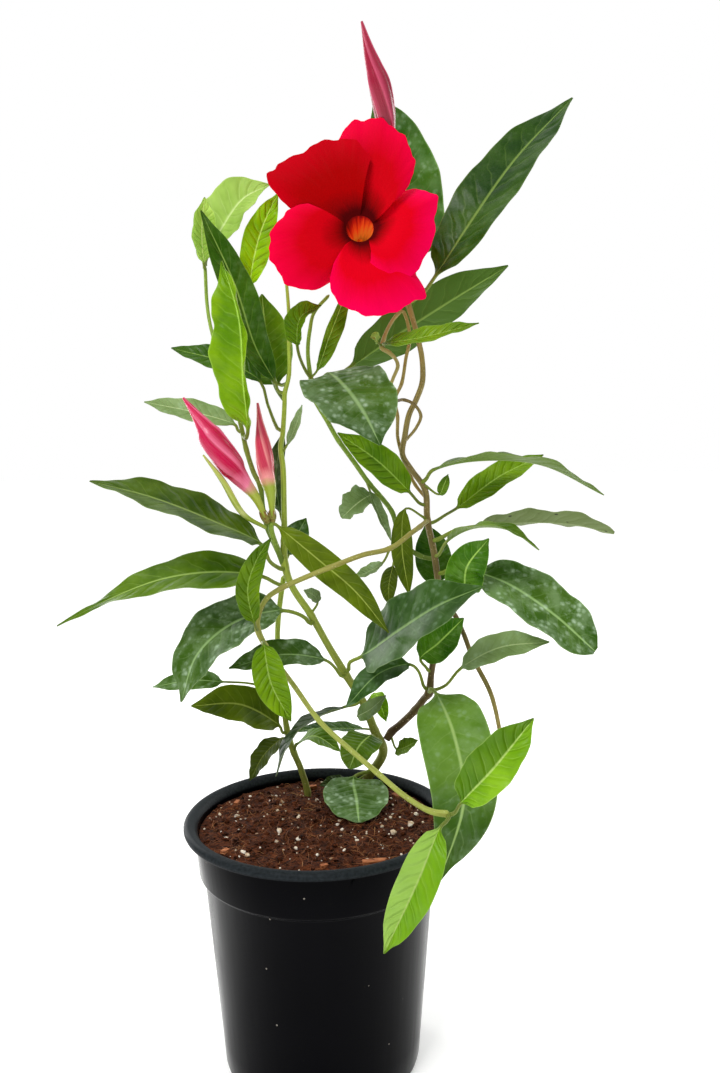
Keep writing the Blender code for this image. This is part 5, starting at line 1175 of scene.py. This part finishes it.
def bud(name, material, axis, radii, ridge, twist):
    """A spindle whose five petals overlap in a spiral."""
    route = smooth_route(axis, 16)
    shares = np.linspace(0, 1, BUD_ROWS + 1)
    points = at_shares(route, shares)
    along, side, up = carried_frames(points, BUD_ROWS // 2, (0, -1, 0))
    curve = smooth_route([(k / (len(radii) - 1), r, 0) for k, r in enumerate(radii)], 8)
    sizes = np.interp(shares, curve[:, 0], curve[:, 1])

    def on_bud(turn, share):
        """Round the bud, with a step where each petal laps over the next."""
        row = round(share * BUD_ROWS)
        angle = 2 * pi * turn + twist * share
        lap = (5 * turn) % 1
        grown = min(1, max(0, (share - 0.22) / 0.2))
        lift = 1.3 * lap - 0.9 if lap < LAP else 0.205 - 5 * (lap - LAP)
        size = sizes[row] * (1 + grown * ridge * lift)
        return points[row] + size * (cos(angle) * side[row] + sin(angle) * up[row])

    body = bmesh.new()
    wrapped(body, BUD_SIDES, BUD_ROWS, on_bud)
    return piece(name, body, [material], [name], sharp=60)


# Sepals are tough, green at the foot and rusty toward their tips
sepal_rust = stem_finish("rusty_green_sepal", "#8C6A34", "#8E9440", "#7A5A30", "#B8A070")


def calyx(name, foot, toward, radius, length):
    """A swollen collar that joins a flower to its stalk, and five narrow sepals on it."""
    foot = np.array(foot, float)
    axis = unit(np.array(toward, float) - foot)
    side = unit(np.cross(axis, (0.3, 1.0, 0.2)))
    up = np.cross(axis, side)
    body = bmesh.new()

    def on_collar(turn, share):
        """A ring that swells in the middle."""
        size = radius * (0.7 + 0.45 * sin(pi * share))
        spoke = cos(2 * pi * turn) * side + sin(2 * pi * turn) * up
        return foot + axis * (3.2 * share - 1.8) + spoke * size

    wrapped(body, 16, 8, on_collar)
    for k in range(5):
        out = cos(2 * pi * k / 5) * side + sin(2 * pi * k / 5) * up
        across = np.cross(axis, out)

        def on_sepal(turn, share):
            """A flat sliver that narrows to a point."""
            middle = foot + axis * length * share + out * radius * (1.1 + 0.25 * sin(pi * share))
            half = 0.7 * radius * (1 - share) ** 0.7
            return (middle + across * (half + 0.05) * cos(2 * pi * turn)
                    + out * (0.3 - 0.2 * share) * sin(2 * pi * turn))

        wrapped(body, 10, 8, on_sepal)
    return piece(name, body, [sepal_rust], sharp=70)


# Crimson and rose buds, with painted highlights on their pale folds and a deep pink tip
bud_rose = bud_finish("rose_pink_bud", "#A8B43C", "#B80A40", "#CE1A50", "#EE7C9C", 0.26, 0.26)
bud("bud_left", bud_rose,
    axis=[(-19.9, -7, 245), (-24, -10, 255), (-29, -12, 262), (-39, -12, 276), (-45, -12, 286),
          (-53, -12, 297)],
    radii=(0.9, 1.6, 2.6, 4.3, 5.7, 5.6, 3.9, 2.0, 0.5), ridge=0.13, twist=2.6)
bud_crimson = bud_finish("deep_crimson_bud", "#B8A65A", "#7C0A28", "#9C1636", "#CC5070",
                         0.04, 0.3)
bud("bud_top", bud_crimson,
    axis=[(36.9, 30, 389), (36, 18, 402), (34, 8, 414), (31, 3, 428), (27, 1, 441), (24, 0, 452)],
    radii=(1.1, 2.3, 2.9, 3.4, 4.6, 4.9, 3.6, 2.0, 0.5), ridge=0.13, twist=2.6)
calyx("bud_left_calyx", (-19.9, -7, 245), (-24, -10, 255), radius=1.3, length=4.5)
calyx("bud_top_calyx", (36.9, 30, 389), (36, 18, 402), radius=1.6, length=5)
# Younger bud, salmon over a yellow-green tube
bud_coral = bud_finish("salmon_bud", "#9CAE38", "#C63450", "#CC3E58", "#F09A98", 0.34, 0.28)
bud("bud_right", bud_coral,
    axis=[(-17.4, -5.2, 245), (-18, -4, 256), (-20, -3, 266), (-21, -3, 277), (-23, -2, 295)],
    radii=(0.9, 1.5, 2.6, 3.5, 3.9, 3.5, 2.4, 1.3, 0.5), ridge=0.12, twist=2.6)
calyx("bud_right_calyx", (-17.4, -5.2, 245), (-18, -4, 256), radius=1.2, length=4)
# Unripe bud, green all over
bud_unripe = bud_finish("unripe_green_bud", "#9BAE3A", "#A6B548", "#B4BE5A", "#C6CC7C", 0.3)
bud("bud_green", bud_unripe,
    axis=[(-20.4, -6.4, 241.5), (-29, -13, 248), (-37, -14, 262), (-45, -14, 273)],
    radii=(0.8, 0.9, 1.2, 1.4, 1.4, 1.2, 0.8, 0.4), ridge=0.06, twist=1.5)

# The open bloom: a funnel of soft, velvety scarlet that spreads into five overlapping
# petals, set like a pinwheel, with pinker edges and a dark throat.
BLOOM_CENTRE = (22, -8, 366)
BLOOM_LEAN = radians(9.8)
THROAT_RADIUS = 6.2
PETAL_THICKNESS = 0.5
PETAL_PITCH = 3.2
PETAL_BOWL = 3.0
TUBE_LENGTH = 44.0
ROOT_SPREAD = 78                # degrees of the throat's edge that one petal takes
SEEN_CURVE = 0.3                # share of a petal's edge that follows its smooth line


def petal_finish(name, throat_tone, deep, body_tone, rim_tone):
    """Velvet scarlet: dark at the throat, bright in the middle, rosier at the rim, with
    faint rays from the throat and no shine."""
    material, tree, shader = finish(name, specular_ior_level=0.02)
    skin = add(tree, "UVMap", uv_map="skin")
    spot = add(tree, "TexCoord", out=3)
    share = add(tree, "SeparateXYZ", {0: skin}, out=1)
    rays = add(tree, "Mapping", {"Vector": skin, "Scale": (16, 1.2, 1)})
    rays = add(tree, "TexNoise", {"Vector": rays, "Scale": 2.2, "Detail": 5, "Distortion": 0.3})
    patch = add(tree, "TexNoise", {"Vector": spot, "Scale": 1000 / 18, "Detail": 2})
    place = add(tree, "Math", {0: rays, 1: 0.10, 2: share}, operation="MULTIPLY_ADD")
    place = add(tree, "Math", {0: patch, 1: 0.3, 2: place}, operation="MULTIPLY_ADD")
    place = add(tree, "Math", {0: place, 1: 0.75}, operation="MULTIPLY")
    tone = add(tree, "ValToRGB", {0: place}, stops=[
        (0.19, throat_tone), (0.28, deep), (0.40, body_tone),
        (0.58, body_tone), (0.90, rim_tone)])
    rough = add(tree, "MapRange", {"Value": rays}, span=(0.3, 0.7, 0.55, 0.75))
    relief = add(tree, "Bump", {"Strength": 0.4, "Distance": 0.35 * MM, "Height": rays})
    feed(tree, shader, base_color=tone, roughness=rough, normal=relief)
    return material


# One scarlet in lit and shaded copies: the lit petals are the brightest, and those that are cupped
# or turned away get painted shade, a deeper red
petal_bright = petal_finish("velvet_scarlet_petal", "#520205", "#A4020A", "#D80018", "#F2004C")
petal_painted_shade = petal_finish("velvet_scarlet_painted_shade", "#4A0204", "#840204", "#9E0002", "#BA0012")
petal_painted_half_shade = petal_finish("velvet_scarlet_painted_half_shade", "#4A0204", "#940206", "#C20010", "#E80038")

to_bloom = Matrix.Translation(Vector(BLOOM_CENTRE) * MM) @ Matrix.Rotation(
    pi / 2 - BLOOM_LEAN, 4, "X")


def petal(name, material, root, edge, cup=0.0, curl=0.0):
    """One petal: a grid spread from the throat to its own edge, thin and a little wavy."""
    line = smooth_route([(a, r, k) for k, (a, r) in enumerate(edge)], 8)
    spots = line[:, 2] / (len(edge) - 1)
    knots = np.linspace(0, 1, len(edge))
    body = bmesh.new()
    body.loops.layers.uv.new("skin")
    bmesh.ops.create_grid(body, x_segments=44, y_segments=30, size=0.5, calc_uvs=True)
    for vert in body.verts:
        u, v = vert.co.x + 0.5, vert.co.y + 0.5
        edge_angle = (SEEN_CURVE * np.interp(u, spots, line[:, 0])
                      + (1 - SEEN_CURVE) * np.interp(u, knots, [a for a, r in edge]))
        reach = (SEEN_CURVE * np.interp(u, spots, line[:, 1])
                 + (1 - SEEN_CURVE) * np.interp(u, knots, [r for a, r in edge]))
        reach *= 1 + 0.014 * sin(31 * u + root) + 0.008 * sin(67 * u - root)
        root_angle = root + (0.5 - u) * ROOT_SPREAD
        angle = radians(root_angle + (edge_angle - root_angle) * v ** 0.7)
        inner = THROAT_RADIUS - 0.5
        radius = inner + (reach - inner) * v
        height = PETAL_PITCH * (2 * u - 1) * v ** 0.8
        height += PETAL_BOWL * (sin(pi * min(1, v)) - 0.5 * v * v)
        height += cup * (2 * u - 1) ** 2 * v
        height += 0.7 * v ** 3 * sin(9 * u + root) + 0.35 * v ** 4 * sin(23 * u + 2 * root)
        height += curl * v ** 4
        vert.co = Vector((radius * cos(angle), radius * sin(angle), height)) * MM
    bmesh.ops.recalc_face_normals(body, faces=body.faces)
    bmesh.ops.solidify(body, geom=body.faces[:], thickness=PETAL_THICKNESS * MM)
    bmesh.ops.transform(body, matrix=to_bloom, verts=body.verts)
    return piece(name, body, [material], ["bloom"], sharp=65)


petal("petal_upper_left", petal_painted_shade, root=126, cup=1.5, curl=1.2, edge=(
    (163, 28), (157, 37), (148, 46), (138, 44), (122, 41), (107, 40), (92, 36), (80, 29)))
petal("petal_top", petal_painted_half_shade, root=60, edge=(
    (104, 41), (93, 49), (83, 50), (73, 48), (62, 43), (52, 38), (44, 31), (38, 23)))
petal("petal_right", petal_bright, root=-14, curl=-1.0, edge=(
    (49, 25), (36, 32), (25, 36), (8, 32), (-18, 30), (-44, 29), (-62, 26), (-76, 17)))
petal("petal_bottom", petal_bright, root=-84, curl=-0.8, edge=(
    (-35, 27), (-45, 39), (-58, 37), (-74, 38), (-90, 36), (-104, 33), (-116, 29), (-126, 19)))
petal("petal_left", petal_painted_half_shade, root=-158, edge=(
    (-118, 21), (-130, 33), (-144, 38), (-158, 39), (-170, 39), (-182, 36), (-194, 31),
    (-205, 24)))

# The funnel behind them: one soft wall, scarlet outside running to yellow-green at its
# foot, and inside a maroon throat that turns orange with red rays. The faint glow is
# painted light: an emission that stands in for daylight soaking through the thin wall.
throat, tree, shader = finish("maroon_and_orange_throat", specular_ior_level=0.1,
                              emission_strength=0.3)
skin = add(tree, "UVMap", uv_map="skin")
share = add(tree, "SeparateXYZ", {0: skin}, out=1)
rays = add(tree, "Mapping", {"Vector": skin, "Scale": (12, 1.0, 1)})
rays = add(tree, "TexNoise", {"Vector": rays, "Scale": 2.4, "Detail": 4})
spot = add(tree, "TexCoord", out=3)
# Painted shade and light inside the throat: darker toward -X, brighter and more orange toward +X,
# fading out above the lip.
painted_throat_shade = add(tree, "MapRange", {"Value": add(tree, "SeparateXYZ", {0: spot})},
           span=((BLOOM_CENTRE[0] - THROAT_RADIUS) * MM,
                 (BLOOM_CENTRE[0] + THROAT_RADIUS) * MM, 0.06, -0.11))
inside = add(tree, "MapRange", {"Value": share}, span=(0.30, 0.36, 1.0, 0.0))
painted_throat_shade = add(tree, "Math", {0: painted_throat_shade, 1: inside}, operation="MULTIPLY")
rays_in = add(tree, "MapRange", {"Value": rays}, span=(0.3, 0.7, -0.05, 0.05))
place = add(tree, "Math", {0: rays_in, 1: share}, operation="ADD")
place = add(tree, "Math", {0: place, 1: painted_throat_shade}, operation="ADD")
tone = add(tree, "ValToRGB", {0: place}, stops=[
    (0.02, "#B8701C"), (0.10, "#E89030"), (0.17, "#E0501C"),
    (0.23, "#B41A10"), (0.29, "#760609"), (0.38, "#560305"),
    (0.52, "#B00410"), (0.62, "#C0142A"),
    (0.76, "#C45A4A"), (0.93, "#A8B048")])
rough = add(tree, "MapRange", {"Value": rays}, span=(0, 1, 0.42, 0.7))
relief = add(tree, "Bump", {"Strength": 0.4, "Distance": 0.4 * MM, "Height": rays})
# Painted light: the throat's own colours are also emitted as a faint glow.
feed(tree, shader, base_color=tone, roughness=rough, normal=relief, emission_color=tone)
r = THROAT_RADIUS
wall_line = smooth_route([(z, x, 0) for x, z in (
    (0.2, -20), (2.6, -19), (3.5, -14), (4.6, -8), (5.6, -3), (r + 0.2, -0.9), (r + 1.4, -0.5),
    (r + 1.2, -4), (r + 0.4, -10), (4.9, -17), (3.2, -25), (2.3, -33), (2.2, -38), (3.0, -40.5),
    (2.6, 0.5 - TUBE_LENGTH), (1.6, -TUBE_LENGTH))], 5)


def on_funnel(turn, share):
    """Down the inside of the throat, over its lip and back along the five-ribbed outside."""
    z, x, _ = wall_line[round(share * (len(wall_line) - 1))]
    angle = 2 * pi * turn
    if share > 0.4:
        x = x * (1 + 0.05 * sin(5 * angle) * min(1, x / 4))
    return x * cos(angle), x * sin(angle), z


funnel = bmesh.new()
wrapped(funnel, 50, len(wall_line) - 1, on_funnel)
bmesh.ops.transform(funnel, matrix=to_bloom, verts=funnel.verts)
piece("bloom_funnel", funnel, [throat], ["bloom"], sharp=70)

# The bloom's own calyx clasps the funnel's foot.
bloom_foot = to_bloom @ Vector((0, 0, (1.5 - TUBE_LENGTH) * MM)) / MM
bloom_middle = to_bloom @ Vector((0, 0, 0)) / MM
calyx("bloom_calyx", bloom_foot, bloom_middle, radius=2.6, length=8)

# Five anthers lean together into one ribbed yellow-orange cone on the throat's floor.
anther_gold, tree, shader = finish("golden_anther", specular_ior_level=0.15)
skin = add(tree, "UVMap", uv_map="skin")
share = add(tree, "SeparateXYZ", {0: skin}, out=1)
fuzz = add(tree, "Mapping", {"Vector": skin, "Scale": (10, 4, 1)})
fuzz = add(tree, "TexNoise", {"Vector": fuzz, "Scale": 3.0, "Detail": 4})
place = add(tree, "Math", {0: fuzz, 1: 0.3, 2: share}, operation="MULTIPLY_ADD")
tone = add(tree, "ValToRGB", {0: place}, stops=[
    (0.1, "#B8430E"), (0.55, "#E0871C"), (1.0, "#F2C048")])
relief = add(tree, "Bump", {"Strength": 0.5, "Distance": 0.3 * MM, "Height": fuzz})
feed(tree, shader, base_color=tone, normal=relief, roughness=add(
    tree, "MapRange", {"Value": fuzz}, span=(0, 1, 0.5, 0.8)))


def on_cone(turn, share):
    """Up the cone, with a rib for each anther."""
    size = np.interp(share, (0, 0.1, 0.75, 1), (1.9, 2.1, 1.2, 0.25))
    size *= 1 + 0.10 * abs(sin(2.5 * 2 * pi * turn)) - 0.05
    return (size * cos(2 * pi * turn), size * sin(2 * pi * turn), -19.7 + 9 * share)


cone = bmesh.new()
wrapped(cone, 40, 16, on_cone)
bmesh.ops.transform(cone, matrix=to_bloom, verts=cone.verts)
piece("anther_cone", cone, [anther_gold], ["anther_cone"], sharp=60)

# A plain pale floor, even white air, and three large soft lamps: one high in front, and
# one tall at each side that draws the long upright highlights on the pot.
floor_pale, tree, shader = finish("plain_pale_floor", specular_ior_level=0.1, roughness=0.9,
                                  emission_color=(1, 1, 1, 1), emission_strength=0.2)
spot = add(tree, "TexCoord", out=3)
grain = add(tree, "TexNoise", {"Vector": spot, "Scale": 1000 / 30, "Detail": 3})
tone = add(tree, "ValToRGB", {0: grain}, stops=[(0.3, "#F4F4F3"), (0.7, "#FAFAF9")])
feed(tree, shader, base_color=tone)
ground = bmesh.new()
bmesh.ops.create_grid(ground, x_segments=4, y_segments=4, size=12.0)
mesh = bpy.data.meshes.new("floor")
ground.to_mesh(mesh)
ground.free()
mesh.materials.append(floor_pale)
floor = bpy.data.objects.new("floor", mesh)
bpy.context.scene.collection.objects.link(floor)

# The air is brighter behind and above than in front, so that the pot's face stays dark.
world = bpy.data.worlds.new("even_white_air")
bpy.context.scene.world = world
world.use_nodes = True
tree = world.node_tree
air = tree.nodes["Background"]
air.inputs["Color"].default_value = (1, 1, 1, 1)
aim = add(tree, "TexCoord")
sides = add(tree, "SeparateXYZ", {0: aim}, out=1)
behind = add(tree, "MapRange", {"Value": sides}, span=(-0.2, 0.9, 0.12, 0.80))
above = add(tree, "MapRange", {"Value": sides.node.outputs[2]}, span=(0.1, 1.0, 0.0, 0.90))
fill = add(tree, "Math", {0: behind, 1: above}, operation="ADD")
seen = add(tree, "LightPath")
fill = add(tree, "Mix", {0: seen, 2: fill, 3: 1.0}, data_type="FLOAT")
tree.links.new(fill, air.inputs["Strength"])


def lamp(name, place, aim, wide, tall, power):
    """A soft panel of light turned toward a point; metres and watts."""
    data = bpy.data.lights.new(name, "AREA")
    data.shape = "RECTANGLE"
    data.size, data.size_y = wide, tall
    data.energy = power
    item = bpy.data.objects.new(name, data)
    item.location = place
    item.rotation_euler = (Vector(aim) - Vector(place)).to_track_quat("-Z", "Y").to_euler()
    bpy.context.scene.collection.objects.link(item)
    return item


lamp("high_front_lamp", (-0.6, -1.0, 1.5), (0.02, 0, 0.25), wide=0.6, tall=0.6, power=15)
lamp("left_panel", (-0.62, 0.72, 0.3), (0, 0, 0.15), wide=0.28, tall=1.1, power=5)
lamp("right_panel", (0.62, 0.72, 0.3), (0, 0, 0.15), wide=0.28, tall=1.1, power=5)

# The camera looks slightly down, as the photograph does.
FRAME_TALL = 1073
FOCAL_PX = 900
PITCH = radians(5.13)
ROLL = radians(-0.81)
SENSOR = 36.0
CAMERA_PLACE = (20.25, -392.7, 271.8)
ahead = Vector((0, cos(PITCH), -sin(PITCH)))
right = Vector((1, 0, 0))
over = Vector((0, sin(PITCH), cos(PITCH)))
lens_right = right * cos(ROLL) + over * sin(ROLL)
lens_up = over * cos(ROLL) - right * sin(ROLL)
view = bpy.data.cameras.new("photo_camera")
view.sensor_fit = "VERTICAL"
view.sensor_height = SENSOR
view.sensor_width = SENSOR
view.lens = SENSOR * FOCAL_PX / FRAME_TALL
view.clip_start = 0.01
camera = bpy.data.objects.new("photo_camera", view)
axes = Matrix((lens_right, lens_up, -ahead)).transposed().to_4x4()
camera.matrix_world = Matrix.Translation(Vector(CAMERA_PLACE) * MM) @ axes
bpy.context.scene.collection.objects.link(camera)
bpy.context.scene.camera = camera
bpy.context.scene.view_settings.view_transform = "Standard"
